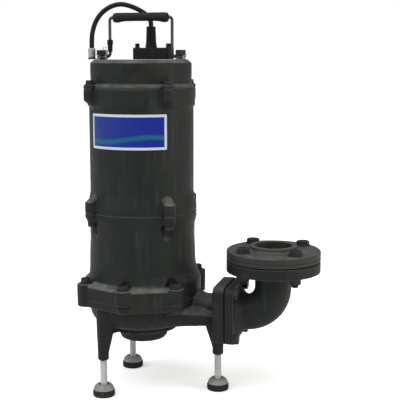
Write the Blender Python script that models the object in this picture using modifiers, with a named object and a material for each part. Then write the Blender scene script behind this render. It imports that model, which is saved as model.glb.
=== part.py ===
"""Submersible grinder pump with a flanged discharge elbow, standing on three screw feet.

Metres, +Z up. The origin is on the ground, in the middle of the pump's outline. The motor stands
on the X axis at MOTOR_X and the discharge opens upwards on +X. -Y is the side with the name plate.
Apart from MOTOR_X, every place below is measured from the motor's axis at ground level.
"""

import math
from dataclasses import dataclass

import bmesh
import bpy
from mathutils import Matrix, Vector

MOTOR_X = -0.102
FIT_GAP = 0.0003
OVERLAP = 0.002
ROUND_STEPS = 48
SMALL_STEPS = 32
SHARP_ANGLE = math.radians(32)

# Bolt circles of the cast housings
CORNER_ANGLES = (45, 135, 225, 315)
RING_ANGLES = (43, 136, 224, 317)
SIDE_ANGLES = (90, 270)
RING_PITCH = 0.1055
RING_LUG_RADIUS = 0.0145
RING_LUG_ROOT = 0.085
RING_SPOT_FACE = 0.0142
SIDE_LUG_RADIUS = 0.0115
WEB_ANGLES = (66.5, 113, 247, 293.5)
WEB_WALL = 0.1065
WEB_HALF_WIDTH = 0.036
WEB_CHAMFER = 0.0045
COVER_PITCH = 0.093
COVER_SPOT_FACE = 0.0101
MOTOR_LUG_ROOT = 0.080
COVER_LUG_ROOT = 0.075
SLOPE_HEIGHT = 0.014
POCKET_PITCH = 0.096
POCKET_RADIUS = 0.0130
POCKET_HEIGHT = 0.021
POCKET_FOOT = 0.010
POCKET_FOOT_HEIGHT = 0.015

# Screw feet, by place and distance from the axis
FOOT_PLACES = ((-0.0460, -0.0763), (-0.0460, 0.0763), (0.1321, 0.0))
PAD_RADIUS = 0.0184
PAD_HEIGHT = 0.011
CUP_TOP = 0.024
STUD_RADIUS = 0.005
STUD_TOP = 0.082
LEG_BOTTOM = 0.0615
LEG_RADIUS = 0.0093
LEG_CHAMFER = 0.002
LEG_TAPER_START = 0.074
LEG_TAPER = 0.139
FRONT_LEG_TAPER = 0.1665
LEG_BORE_RADIUS = 0.0054
LEG_BORE_TOP = 0.110

# Pump casing and the suction side
CASING_TOP = 0.1647
CASING_FLANGE_BOTTOM = 0.1524
CASING_BOTTOM = 0.1083
RING_RADIUS = 0.099
BOWL_PROFILE = (
    (0.0905, 0.1524), (0.0905, 0.1400), (0.0898, 0.1350), (0.0883, 0.1300), (0.0862, 0.1260),
    (0.0835, 0.1222), (0.0805, 0.1193), (0.0770, 0.1172), (0.0680, 0.1130), (0.0590, 0.1097),
    (0.0550, 0.1083),
)
SUCTION_RADIUS = 0.0585
SUCTION_FLANGE_BOTTOM = 0.103
SUCTION_BOTTOM = 0.0845
SUCTION_BORE = 0.0303
CUTTER_RING_RADIUS = 0.030
CUTTER_RING_TOP = 0.099
CUTTER_BORE = 0.0215
BLADE_REACH = 0.0205
BLADE_HUB = 0.0095
BLADE_BOTTOM = 0.0865
BLADE_TOP = 0.0925
CUTTER_BOLT_RADIUS = 0.0058
CUTTER_BOLT_HEIGHT = 0.0055
SHAFT_RADIUS = 0.008

# Outlet of the casing and the elbow that carries the discharge flange
OUTLET_HEIGHT = 0.1398
OUTLET_FACE = 0.152
NECK_HEIGHT = 0.1412
NECK_RADIUS = 0.0256
NECK_START = 0.060
NECK_END = 0.140
NECK_ROOT = (0.0970, 0.0325)
NECK_ROOT_END = (0.1105, 0.0258)
SCROLL_SECTIONS = (
    (0.0400, (
        (0, 0.1560), (-0.0400, 0.1560), (-0.0660, 0.1490), (-0.0785, 0.1425), (-0.0785, 0.1370),
        (-0.0735, 0.1245), (-0.0640, 0.1190), (0, 0.1185),
    )),
    (0.0850, (
        (0, 0.1560), (-0.0300, 0.1560), (-0.0485, 0.1490), (-0.0570, 0.1425), (-0.0570, 0.1370),
        (-0.0520, 0.1245), (-0.0440, 0.1190), (0, 0.1185),
    )),
    (0.1335, (
        (0, 0.1430), (-0.0150, 0.1425), (-0.0245, 0.1400), (-0.0350, 0.1360), (-0.0350, 0.1315),
        (-0.0310, 0.1225), (-0.0240, 0.1178), (0, 0.1170),
    )),
)
SQUARE_FLANGE = 0.096
SQUARE_CORNER = 0.0115
CASING_FLANGE_BACK = 0.133
GASKET = 0.0015
ELBOW_FLANGE_FRONT = 0.1682
OUTLET_BOLT_OFFSET = 0.0380
PIPE_RADIUS = 0.0300
PIPE_BORE = 0.0250
PIPE_ENDS = (0.160, 0.222)
BORE_ENDS = (0.140, 0.240)
FLARE_PROFILE = ((0.0440, 0.0), (0.0385, 0.0046), (0.0337, 0.0090), (0.0303, 0.0140))
BEND_RADIUS = 0.0445
DISCHARGE_X = 0.2255

# Round discharge flanges, to the 50 mm size of the 10 bar series
FLANGE_RADIUS = 0.0775
FLANGE_PITCH = 0.060
ELBOW_FLANGE_BOTTOM = 0.2122
ELBOW_FLANGE_TOP = 0.2297
COMPANION_BOTTOM = 0.2318
COMPANION_TOP = 0.2485
COMPANION_BORE = 0.0300
GASKET_RADIUS = 0.048
LIP_RADIUS = 0.0395
LIP_TOP = 0.2555
HUB_FOOT_RADIUS = 0.0465
HUB_FLARE_TOP = 0.2530
RIM_ROUNDING = 0.0035
DISCHARGE_BOLT_LENGTH = 0.052

# Oil chamber, motor housing and cover
CHAMBER_BOTTOM = 0.1650
CHAMBER_RING_TOP = 0.1900
CHAMBER_TOP = 0.3070
BAND_RADIUS = 0.0918
MOTOR_BOTTOM = 0.3073
BARREL_RADIUS = 0.0870
MOTOR_TOP = 0.5097
UPPER_RING_RADIUS = 0.0895
UPPER_RING_BOTTOM = 0.4800
COVER_BOTTOM = 0.5100
COVER_LUG_TOP = 0.5163
COVER_WALL = 0.0838
COVER_SHOULDER = 0.5507
COVER_TOP = 0.5565
COVER_TOP_RADIUS = 0.0774
LOWER_LUG_BOTTOM = 0.2920
MOTOR_LUG_RADIUS = 0.0112
CHAMBER_LUG_BOTTOM = 0.3005
CHAMBER_LUG_SLOPE = 0.005
FOOT_LUG_TOP = 0.3255
COVER_LUG_RADIUS = 0.0103
TOP_LUG_BOTTOM = 0.4905
LUG_SLOPE = 0.018

# Name plate around the front of the barrel
PLATE_HALF_ANGLE = 45
PLATE_BOTTOM = 0.4143
PLATE_TOP = 0.4706
PLATE_THICKNESS = 0.0008

# Handle
HANDLE_HALF = 0.0537
HANDLE_FOOT = 0.068
HANDLE_FOOT_RADIUS = 0.0085
HANDLE_FOOT_THICKNESS = 0.0040
HANDLE_HOLE_DEPTH = 0.0165
HANDLE_SPOT_FACE = 0.0104
HANDLE_ROD = 0.00275
HANDLE_BEND = 0.006
GRIP_HEIGHT = 0.6255
GRIP_RADIUS = 0.0063
GRIP_END_RADIUS = 0.0072
TIE_HEIGHT = 0.585

# Cable gland and the lead
GLAND_X = 0.009
GLAND_Y = 0.028
GLAND_PLATE_X = 0.0142
GLAND_HALF_LENGTH = 0.032
GLAND_HALF_WIDTH = 0.0165
GLAND_PLATE_TOP = 0.5760
SLEEVE_TOP = 0.6110
SLEEVE_RADIUS = 0.00875
SLEEVE_TOP_RADIUS = 0.0080
LEAD_RADIUS = 0.0040
CLIP_X = -0.0863
CLIP_THICKNESS = 0.0018
CLIP_HALF_WIDTH = 0.006
CLIP_TOP = 0.5720
CLIP_RADIUS = 0.0058
LEAD_ROUTE = (
    (0.0090, 0.0280, 0.6150), (0.0080, 0.0281, 0.6210), (0.0020, 0.0283, 0.6295),
    (-0.0114, 0.0270, 0.6385), (-0.0296, 0.0240, 0.6459), (-0.0430, 0.0210, 0.6478),
    (-0.0558, 0.0180, 0.6449), (-0.0670, 0.0145, 0.6383), (-0.0755, 0.0112, 0.6295),
    (-0.0812, 0.0078, 0.6193), (-0.0845, 0.0048, 0.6085), (-0.0862, 0.0020, 0.5960),
    (-0.0863, 0.0005, 0.5840), (-0.0863, 0.0000, 0.5770),
)
LEAD_STEP = 0.014


@dataclass(frozen=True)
class BoltSize:
    """Hexagon bolt: shank radius, width across flats, head height, washer radius and thickness."""

    shank: float
    flats: float
    head: float
    washer: float
    washer_height: float


M12 = BoltSize(0.006, 0.019, 0.0062, 0.012, 0.0014)
M10_FLANGED = BoltSize(0.005, 0.0168, 0.0066, 0.0092, 0.0008)
M10 = BoltSize(0.005, 0.016, 0.0074, 0.0098, 0.0016)
BOLT_SIDES = 12


@dataclass(frozen=True)
class Finish:
    """Colour, roughness and metallic value of one material."""

    colour: tuple
    roughness: float
    metallic: float


FINISHES = {
    "painted_iron": Finish((0.028, 0.032, 0.028), 0.55, 0.0),
    "flange_iron": Finish((0.045, 0.047, 0.045), 0.6, 0.0),
    "bolt_steel": Finish((0.06, 0.06, 0.058), 0.45, 0.9),
    "bright_steel": Finish((0.55, 0.55, 0.53), 0.3, 1.0),
    "cup_steel": Finish((0.35, 0.35, 0.34), 0.4, 1.0),
    "cutter_steel": Finish((0.4, 0.4, 0.4), 0.35, 1.0),
    "rubber": Finish((0.012, 0.012, 0.012), 0.8, 0.0),
    "black_plastic": Finish((0.015, 0.015, 0.015), 0.45, 0.0),
    "lead_sheath": Finish((0.02, 0.02, 0.02), 0.5, 0.0),
    "gasket": Finish((0.02, 0.018, 0.016), 0.85, 0.0),
    "plate_film": Finish((0.03, 0.06, 0.45), 0.35, 0.0),
}


class Workshop:
    """The collections, materials and mounting empty that every piece is made with."""

    def __init__(self):
        self.parts = self.new_collection("grinder_pump")
        self.cutters = self.new_collection("cutters")
        self.materials = {name: self.new_material(name, finish) for name, finish in FINISHES.items()}
        self.axis = self.new_empty("motor_axis", (MOTOR_X, 0, 0), None)

    @staticmethod
    def new_collection(name):
        collection = bpy.data.collections.new(name)
        bpy.context.scene.collection.children.link(collection)
        return collection

    @staticmethod
    def new_material(name, finish):
        material = bpy.data.materials.new(name)
        material.use_nodes = True
        shader = material.node_tree.nodes["Principled BSDF"]
        shader.inputs["Base Color"].default_value = (*finish.colour, 1)
        shader.inputs["Roughness"].default_value = finish.roughness
        shader.inputs["Metallic"].default_value = finish.metallic
        return material

    def new_empty(self, name, place, parent):
        empty = bpy.data.objects.new(name, None)
        empty.location = place
        empty.parent = parent
        self.parts.objects.link(empty)
        return empty

    def new_object(self, name, data, parent=None):
        """A mesh or curve object, held by the motor's axis unless another parent is given."""
        item = bpy.data.objects.new(name, data)
        item.parent = parent or self.axis
        self.parts.objects.link(item)
        return item


def clear_scene():
    for item in list(bpy.data.objects):
        bpy.data.objects.remove(item, do_unlink=True)


def polar(angle, radius):
    """Place at an angle in degrees around the motor's axis."""
    turn = math.radians(angle)
    return radius * math.cos(turn), radius * math.sin(turn)


def ellipse_points(centre, half_width, half_height, start, end, steps):
    """Points of an ellipse between two angles in degrees, ends included."""
    angles = [math.radians(start + (end - start) * step / steps) for step in range(steps + 1)]
    return [
        (centre[0] + half_width * math.cos(angle), centre[1] + half_height * math.sin(angle))
        for angle in angles
    ]


def turned(shop, name, profile, place=(0, 0), steps=ROUND_STEPS, parent=None):
    """Solid turned about an upright axis. A profile that leaves the axis is a closed ring."""
    mesh = bpy.data.meshes.new(name)
    ring = min(radius for radius, height in profile) > 0
    edges = [(index, index + 1) for index in range(len(profile) - 1)]
    if ring:
        edges.append((len(profile) - 1, 0))
    mesh.from_pydata([(radius, 0, height) for radius, height in profile], edges, [])
    item = shop.new_object(name, mesh, parent)
    item.location = (*place, 0)
    screw = item.modifiers.new("turn", "SCREW")
    screw.steps = steps
    screw.render_steps = steps
    screw.use_merge_vertices = True
    screw.merge_threshold = 0.00001
    return item


def posts(shop, name, places, radius, bottom, top, top_radius=None, lean=(0.0,), sides=20, spin=0.0):
    """Upright cylinders or cones as one object. lean moves each top away from the motor's axis."""
    shape = bmesh.new()
    middle = (bottom + top) / 2
    leans = list(lean) * len(places) if len(lean) == 1 else lean
    for place, shift in zip(places, leans):
        spot = Matrix.Translation((*place, middle)) @ Matrix.Rotation(spin, 4, "Z")
        made = bmesh.ops.create_cone(
            shape, cap_ends=True, segments=sides, radius1=radius,
            radius2=radius if top_radius is None else top_radius, depth=top - bottom, matrix=spot,
        )
        outward = Vector((*place, 0)).normalized() * shift
        for corner in made["verts"]:
            if corner.co.z > middle:
                corner.co += outward
    return mesh_object(shop, name, shape)


def mesh_object(shop, name, shape, parent=None):
    """Object that takes a bmesh's shape."""
    mesh = bpy.data.meshes.new(name)
    shape.to_mesh(mesh)
    shape.free()
    return shop.new_object(name, mesh, parent)


def rod(shop, name, start, end, radius, end_radius=None, sides=24):
    """Cylinder or cone between two points."""
    start, end = Vector(start), Vector(end)
    along = end - start
    spot = Matrix.Translation((start + end) / 2) @ along.to_track_quat("Z", "Y").to_matrix().to_4x4()
    shape = bmesh.new()
    bmesh.ops.create_cone(
        shape, cap_ends=True, segments=sides, radius1=radius,
        radius2=radius if end_radius is None else end_radius, depth=along.length, matrix=spot,
    )
    return mesh_object(shop, name, shape)


def lofted(shop, name, rings, sides):
    """Solid through level rings, top to bottom, each given as centre X, centre Y, radius and height."""
    shape = bmesh.new()
    loops = []
    for number, (across, side, radius, height) in enumerate(rings):
        last = number in (0, len(rings) - 1)
        spot = Matrix.Translation((across, side, height))
        made = bmesh.ops.create_circle(shape, cap_ends=last, segments=sides, radius=radius, matrix=spot)
        corners = set(made["verts"])
        loops.append([edge for edge in shape.edges if corners.issuperset(edge.verts)])
    for above, below in zip(loops, loops[1:]):
        bmesh.ops.bridge_loops(shape, edges=above + below)
    bmesh.ops.recalc_face_normals(shape, faces=shape.faces)
    return mesh_object(shop, name, shape)


def skinned(shop, name, bodies):
    """Closed solids, each through its own rows of corners, as one mesh object."""
    shape = bmesh.new()
    for rows in bodies:
        loops = [[shape.verts.new(corner) for corner in row] for row in rows]
        for near, far in zip(loops, loops[1:]):
            for step in range(len(near)):
                after = (step + 1) % len(near)
                shape.faces.new((near[step], near[after], far[after], far[step]))
        shape.faces.new(loops[0])
        shape.faces.new(loops[-1])
    bmesh.ops.triangulate(shape, faces=shape.faces)
    bmesh.ops.recalc_face_normals(shape, faces=shape.faces)
    return mesh_object(shop, name, shape)


def block(shop, name, low, high, corner=0.0, corner_axis="X"):
    """Box between two corners, with its edges along one axis rounded."""
    shape = bmesh.new()
    size = [top - bottom for bottom, top in zip(low, high)]
    centre = [(top + bottom) / 2 for bottom, top in zip(low, high)]
    bmesh.ops.create_cube(shape, size=1, matrix=Matrix.Translation(centre) @ Matrix.Diagonal((*size, 1)))
    if corner:
        axis = "XYZ".index(corner_axis)
        edges = [
            edge for edge in shape.edges
            if abs(edge.verts[0].co[axis] - edge.verts[1].co[axis]) > size[axis] / 2
        ]
        bmesh.ops.bevel(shape, geom=edges, offset=corner, segments=4, profile=0.5, affect="EDGES")
    return mesh_object(shop, name, shape)


def plates(shop, name, outlines, bottom, top):
    """Flat plates cut to outlines, which hold no other outline."""
    curve = bpy.data.curves.new(name, "CURVE")
    curve.dimensions = "2D"
    curve.fill_mode = "BOTH"
    curve.extrude = (top - bottom) / 2
    for outline in outlines:
        add_spline(curve, [(*point, 0) for point in outline], True)
    item = shop.new_object(name, curve)
    item.location.z = (top + bottom) / 2
    return mesh_from_curve(shop, item)


def tube(shop, name, points, radius, resolution):
    """Round bar along points, with closed ends."""
    curve = bpy.data.curves.new(name, "CURVE")
    curve.dimensions = "3D"
    curve.bevel_depth = radius
    curve.bevel_resolution = resolution
    curve.use_fill_caps = True
    add_spline(curve, points, False)
    return mesh_from_curve(shop, shop.new_object(name, curve))


def add_spline(curve, points, closed):
    spline = curve.splines.new("POLY")
    spline.points.add(len(points) - 1)
    for corner, point in zip(spline.points, points):
        corner.co = (*point, 1)
    spline.use_cyclic_u = closed


def mesh_from_curve(shop, item):
    """The curve as a welded mesh object of the same name and place, which Booleans can use."""
    bpy.context.view_layer.update()
    mesh = bpy.data.meshes.new_from_object(item.evaluated_get(bpy.context.evaluated_depsgraph_get()))
    shape = bmesh.new()
    shape.from_mesh(mesh)
    bmesh.ops.remove_doubles(shape, verts=shape.verts, dist=0.00001)
    shape.to_mesh(mesh)
    shape.free()
    name, place = item.name, item.location.copy()
    bpy.data.objects.remove(item, do_unlink=True)
    welded = shop.new_object(name, mesh)
    welded.location = place
    return welded


def combine(shop, target, operation, tools):
    """Joins tools to the target, or cuts them from it, and puts them away as cutters."""
    for tool in tools:
        step = target.modifiers.new(f"{operation.lower()}_{tool.name}", "BOOLEAN")
        step.operation = operation
        step.solver = "EXACT"
        step.object = tool
        shop.parts.objects.unlink(tool)
        shop.cutters.objects.link(tool)
        tool.hide_render = True
        tool.display_type = "WIRE"


def join(shop, target, *tools):
    combine(shop, target, "UNION", tools)


def cut(shop, target, *tools):
    combine(shop, target, "DIFFERENCE", tools)


def finish(shop, item, material):
    """Gives a piece its material, applies its modifiers and shades it smooth between its edges."""
    bpy.context.view_layer.update()
    mesh = bpy.data.meshes.new_from_object(item.evaluated_get(bpy.context.evaluated_depsgraph_get()))
    mesh.name = item.name
    item.modifiers.clear()
    item.data = mesh
    mesh.materials.clear()
    mesh.materials.append(shop.materials[material])
    mesh.shade_smooth()
    mesh.set_sharp_from_angle(angle=SHARP_ANGLE)
    return item


def lug_outline(angle, pitch, radius, root):
    """U-shaped lug outline that points away from the motor's axis, from a root inside the wall."""
    nose = ellipse_points((pitch, 0), radius, radius, -90, 90, 8)
    outline = [(root, -radius), *nose, (root, radius)]
    turn = Matrix.Rotation(math.radians(angle), 2)
    return [tuple(turn @ Vector(point)) for point in outline]


def lugs(shop, name, angles, pitch, radius, root, bottom, top):
    """Row of bolt lugs around the motor's axis."""
    return plates(shop, name, [lug_outline(angle, pitch, radius, root) for angle in angles], bottom, top)


def webs(shop, name, bottom, top, chamfer=0.0):
    """Straight walls that join neighbouring bolt lugs, with an optional chamfer along the top."""
    bodies = []
    for angle in WEB_ANGLES:
        turn = Matrix.Rotation(math.radians(angle), 2)
        rows = []
        for height, wall in ((bottom, WEB_WALL), (top - chamfer, WEB_WALL), (top, WEB_WALL - chamfer)):
            corners = [
                (RING_LUG_ROOT, -WEB_HALF_WIDTH), (wall, -WEB_HALF_WIDTH), (wall, WEB_HALF_WIDTH),
                (RING_LUG_ROOT, WEB_HALF_WIDTH),
            ]
            rows.append([(*(turn @ Vector(corner)), height) for corner in corners])
        bodies.append(rows if chamfer else [rows[0], rows[-1]])
    return skinned(shop, name, bodies)


def ring_places(angles, pitch):
    return [polar(angle, pitch) for angle in angles]


def hole_radius(radius):
    """Hole with play for a shank of the same number of sides."""
    return radius + FIT_GAP / math.cos(math.pi / BOLT_SIDES)


def bolt_shape(shop, name, size, length):
    """One bolt that points down, with the underside of its washer at zero height."""
    corner = size.flats / 2 / math.cos(math.pi / 6)
    top = size.washer_height + size.head
    root = size.washer_height / 3
    bolt = posts(shop, f"{name}_washer", [(0, 0)], size.washer, 0, size.washer_height, sides=16)
    head = posts(shop, f"{name}_head", [(0, 0)], corner, size.washer_height / 2, top, sides=6)
    shank = posts(shop, f"{name}_shank", [(0, 0)], size.shank, -length, root, sides=BOLT_SIDES)
    join(shop, bolt, head, shank)
    return take_mesh(shop, bolt)


def nut_shape(shop, name, size, height):
    """One nut below its bolt's flange, with its top at zero height."""
    corner = size.flats / 2 / math.cos(math.pi / 6)
    nut = posts(shop, f"{name}_body", [(0, 0)], corner, -height, 0, sides=6)
    bore = posts(
        shop, f"{name}_bore", [(0, 0)], hole_radius(size.shank), -height - OVERLAP, OVERLAP, sides=BOLT_SIDES
    )
    cut(shop, nut, bore)
    return take_mesh(shop, nut)


def take_mesh(shop, item):
    """The evaluated mesh of a pattern piece, whose object is no longer needed."""
    bpy.context.view_layer.update()
    mesh = bpy.data.meshes.new_from_object(item.evaluated_get(bpy.context.evaluated_depsgraph_get()))
    bpy.data.objects.remove(item, do_unlink=True)
    return mesh


def repeated(shop, name, mesh, spots):
    """Numbered objects that share one mesh, one for each matrix."""
    mesh.name = name
    mesh.materials.clear()
    mesh.materials.append(shop.materials["bolt_steel"])
    mesh.shade_smooth()
    mesh.set_sharp_from_angle(angle=SHARP_ANGLE)
    for number, spot in enumerate(spots, 1):
        copy = shop.new_object(f"{name}_{number}", mesh)
        copy.matrix_local = spot


def upright(places, height):
    return [Matrix.Translation((*place, height)) for place in places]


def leg_shapes(shop):
    """Three tapered legs whose outer sides stand upright under the casing."""
    shapes = []
    top = CASING_FLANGE_BOTTOM + OVERLAP / 2
    for number, place in enumerate(FOOT_PLACES, 1):
        growth = (FRONT_LEG_TAPER if place[1] == 0 else LEG_TAPER) * (top - LEG_TAPER_START)
        root = Vector(place) - Vector(place).normalized() * growth
        shapes.append(lofted(shop, f"leg_{number}", [
            (*root, LEG_RADIUS + growth, top), (*place, LEG_RADIUS, LEG_TAPER_START),
            (*place, LEG_RADIUS, LEG_BOTTOM + LEG_CHAMFER), (*place, LEG_RADIUS - LEG_CHAMFER, LEG_BOTTOM),
        ], 24))
    return shapes


def outlet_bolt_spots(face):
    """Matrices for bolts through the square flanges, whose heads point along X."""
    offsets = (-OUTLET_BOLT_OFFSET, OUTLET_BOLT_OFFSET)
    turn = Matrix.Rotation(math.pi / 2, 4, "Y")
    return [
        Matrix.Translation((face, across, OUTLET_HEIGHT + up)) @ turn for across in offsets for up in offsets
    ]


def drilled(spots, radius, depth, sides=BOLT_SIDES):
    """Bmesh with one cylinder for each matrix."""
    shape = bmesh.new()
    for spot in spots:
        bmesh.ops.create_cone(
            shape, cap_ends=True, segments=sides, radius1=radius, radius2=radius, depth=depth, matrix=spot
        )
    return shape


def outlet_holes(shop, name):
    """Cutter for the four holes through the square flanges."""
    middle = (CASING_FLANGE_BACK + ELBOW_FLANGE_FRONT) / 2
    depth = ELBOW_FLANGE_FRONT - CASING_FLANGE_BACK + OVERLAP
    return mesh_object(shop, name, drilled(outlet_bolt_spots(middle), hole_radius(M10.shank), depth))


def square_flange(shop, name, start, end):
    half = SQUARE_FLANGE / 2
    low, high = (start, -half, OUTLET_HEIGHT - half), (end, half, OUTLET_HEIGHT + half)
    return block(shop, name, low, high, SQUARE_CORNER)


def volute_casing(shop):
    """Cast casing with its bolt ring, outlet neck, square flange and three legs."""
    casing = turned(shop, "volute_casing", [
        (0, CASING_TOP), (RING_RADIUS, CASING_TOP), (RING_RADIUS, CASING_FLANGE_BOTTOM), *BOWL_PROFILE,
        (0, CASING_BOTTOM),
    ])
    neck = rod(shop, "outlet_neck", (NECK_START, 0, NECK_HEIGHT), (NECK_END, 0, NECK_HEIGHT), NECK_RADIUS)
    root = rod(
        shop, "outlet_neck_root", (NECK_ROOT[0], 0, NECK_HEIGHT), (NECK_ROOT_END[0], 0, NECK_HEIGHT),
        NECK_ROOT[1], NECK_ROOT_END[1],
    )
    scroll = skinned(shop, "outlet_scroll", [
        [[(across, *corner) for corner in section] for across, section in SCROLL_SECTIONS]
    ])
    join(shop, neck, root, scroll)
    seat = posts(
        shop, "ring_clearance", [(0, 0)], RING_RADIUS + 2 * FIT_GAP, CASING_TOP, CHAMBER_RING_TOP,
        sides=ROUND_STEPS,
    )
    cut(shop, neck, seat)
    join(
        shop, casing, neck, square_flange(shop, "casing_flange", CASING_FLANGE_BACK, OUTLET_FACE),
        lugs(
            shop, "casing_lugs", RING_ANGLES, RING_PITCH, RING_LUG_RADIUS, RING_LUG_ROOT,
            CASING_FLANGE_BOTTOM, CASING_TOP,
        ),
        lugs(
            shop, "casing_side_lugs", SIDE_ANGLES, RING_PITCH, SIDE_LUG_RADIUS, RING_LUG_ROOT,
            CASING_FLANGE_BOTTOM, CASING_TOP,
        ),
        webs(shop, "casing_webs", CASING_FLANGE_BOTTOM, CASING_TOP), *leg_shapes(shop),
    )
    cut(
        shop, casing, outlet_holes(shop, "casing_outlet_holes"),
        posts(shop, "leg_bores", FOOT_PLACES, LEG_BORE_RADIUS, LEG_BOTTOM - OVERLAP, LEG_BORE_TOP, sides=16),
    )
    finish(shop, casing, "painted_iron")


def suction_side(shop):
    """Suction cover, the toothed ring in it, and the cutter on its shaft."""
    cover = turned(shop, "suction_cover", [
        (SUCTION_RADIUS, CASING_BOTTOM - FIT_GAP), (SUCTION_RADIUS, SUCTION_FLANGE_BOTTOM),
        (0.0460, 0.1010), (0.0415, 0.0960), (0.0400, 0.0900), (0.0365, SUCTION_BOTTOM),
        (SUCTION_BORE, SUCTION_BOTTOM), (SUCTION_BORE, CASING_BOTTOM - FIT_GAP),
    ], steps=SMALL_STEPS)
    finish(shop, cover, "painted_iron")

    ring = turned(shop, "cutter_ring", [
        (CUTTER_RING_RADIUS, CUTTER_RING_TOP), (CUTTER_RING_RADIUS, SUCTION_BOTTOM + FIT_GAP),
        (CUTTER_BORE, SUCTION_BOTTOM + FIT_GAP), (CUTTER_BORE, CUTTER_RING_TOP),
    ], steps=SMALL_STEPS)
    notches = posts(
        shop, "ring_notches", ring_places(range(15, 375, 30), CUTTER_BORE), 0.0026, SUCTION_BOTTOM - OVERLAP,
        CUTTER_RING_TOP + OVERLAP, sides=6,
    )
    cut(shop, ring, notches)
    finish(shop, ring, "cutter_steel")

    blade = posts(shop, "cutter_blade", [(0, 0)], BLADE_HUB, BLADE_BOTTOM, BLADE_TOP, sides=24)
    outlines = []
    for angle in (30, 150, 270):
        turn = Matrix.Rotation(math.radians(angle), 2)
        tooth = ((0, -0.0045), (BLADE_REACH - 0.0015, -0.0035), (BLADE_REACH - 0.0005, 0.0030), (0, 0.0065))
        outlines.append([tuple(turn @ Vector(point)) for point in tooth])
    for number, outline in enumerate(outlines, 1):
        join(shop, blade, plates(shop, f"blade_tooth_{number}", [outline], BLADE_BOTTOM, BLADE_TOP))
    finish(shop, blade, "cutter_steel")

    bolt = posts(
        shop, "cutter_bolt", [(0, 0)], CUTTER_BOLT_RADIUS, BLADE_BOTTOM - CUTTER_BOLT_HEIGHT,
        BLADE_BOTTOM - FIT_GAP, sides=6,
    )
    finish(shop, bolt, "bolt_steel")
    shaft = posts(
        shop, "motor_shaft", [(0, 0)], SHAFT_RADIUS, BLADE_TOP + FIT_GAP, CASING_BOTTOM - FIT_GAP, sides=24
    )
    finish(shop, shaft, "bright_steel")


def elbow_line(start_x, end_z):
    """Middle line of the elbow, from a place on the outlet's line to a height under the flange."""
    centre = (DISCHARGE_X - BEND_RADIUS, OUTLET_HEIGHT + BEND_RADIUS)
    bend = ellipse_points(centre, BEND_RADIUS, BEND_RADIUS, -90, 0, 8)
    line = [(start_x, OUTLET_HEIGHT), *bend, (DISCHARGE_X, end_z)]
    return [(across, 0, up) for across, up in line]


def discharge_elbow(shop):
    """Cast elbow, bored right through, between a square flange and a round one."""
    back = OUTLET_FACE + GASKET + 2 * FIT_GAP
    elbow = square_flange(shop, "discharge_elbow", back, ELBOW_FLANGE_FRONT)
    pipe = tube(shop, "elbow_pipe", elbow_line(*PIPE_ENDS), PIPE_RADIUS, 10)
    flare = turned(shop, "elbow_flare", [
        (0, -OVERLAP), (FLARE_PROFILE[0][0], -OVERLAP), *FLARE_PROFILE, (0, FLARE_PROFILE[-1][1]),
    ], steps=SMALL_STEPS)
    flare.rotation_euler = (0, math.pi / 2, 0)
    flare.location = (ELBOW_FLANGE_FRONT, 0, OUTLET_HEIGHT)
    flange = posts(
        shop, "elbow_round_flange", [(DISCHARGE_X, 0)], FLANGE_RADIUS, ELBOW_FLANGE_BOTTOM, ELBOW_FLANGE_TOP,
        sides=ROUND_STEPS,
    )
    join(shop, elbow, pipe, flare, flange)
    cut(
        shop, elbow, tube(shop, "elbow_bore", elbow_line(*BORE_ENDS), PIPE_BORE, 10),
        outlet_holes(shop, "elbow_outlet_holes"),
        posts(
            shop, "elbow_flange_holes", discharge_places(), hole_radius(M12.shank),
            ELBOW_FLANGE_BOTTOM - OVERLAP, ELBOW_FLANGE_TOP + OVERLAP, sides=BOLT_SIDES,
        ),
    )
    finish(shop, elbow, "painted_iron")

    half = SQUARE_FLANGE / 2 - OVERLAP / 4
    gasket = block(
        shop, "outlet_gasket", (OUTLET_FACE + FIT_GAP, -half, OUTLET_HEIGHT - half),
        (back - FIT_GAP, half, OUTLET_HEIGHT + half), SQUARE_CORNER,
    )
    start, end = CASING_FLANGE_BACK, ELBOW_FLANGE_FRONT
    cut(
        shop, gasket, outlet_holes(shop, "gasket_holes"),
        rod(shop, "gasket_bore", (start, 0, OUTLET_HEIGHT), (end, 0, OUTLET_HEIGHT), PIPE_BORE),
    )
    finish(shop, gasket, "gasket")


def discharge_places():
    """Bolt places of the round flanges, on the diagonals."""
    return [
        (DISCHARGE_X + across, side) for across, side in ring_places(CORNER_ANGLES, FLANGE_PITCH)
    ]


def companion_flange(shop):
    """Loose flange with a raised hub that a riser pipe screws into, and its gasket."""
    flare = ellipse_points(
        (HUB_FOOT_RADIUS, HUB_FLARE_TOP), LIP_RADIUS - HUB_FOOT_RADIUS, COMPANION_TOP - HUB_FLARE_TOP,
        0, 90, 4
    )
    rim = ellipse_points(
        (FLANGE_RADIUS - RIM_ROUNDING, COMPANION_TOP - RIM_ROUNDING), RIM_ROUNDING, RIM_ROUNDING, 90, 0, 4
    )
    place = (DISCHARGE_X, 0)
    flange = turned(shop, "companion_flange", [
        (LIP_RADIUS - 0.001, LIP_TOP), (LIP_RADIUS, LIP_TOP - 0.001), *flare, *rim,
        (FLANGE_RADIUS, COMPANION_BOTTOM), (COMPANION_BORE, COMPANION_BOTTOM), (COMPANION_BORE, LIP_TOP),
    ], place)
    holes = posts(
        shop, "companion_holes", discharge_places(), hole_radius(M12.shank), COMPANION_BOTTOM - OVERLAP,
        LIP_TOP, sides=BOLT_SIDES,
    )
    cut(shop, flange, holes)
    finish(shop, flange, "flange_iron")

    gasket = turned(shop, "discharge_gasket", [
        (GASKET_RADIUS, COMPANION_BOTTOM - FIT_GAP), (GASKET_RADIUS, ELBOW_FLANGE_TOP + FIT_GAP),
        (COMPANION_BORE, ELBOW_FLANGE_TOP + FIT_GAP), (COMPANION_BORE, COMPANION_BOTTOM - FIT_GAP),
    ], place, SMALL_STEPS)
    finish(shop, gasket, "gasket")


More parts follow.
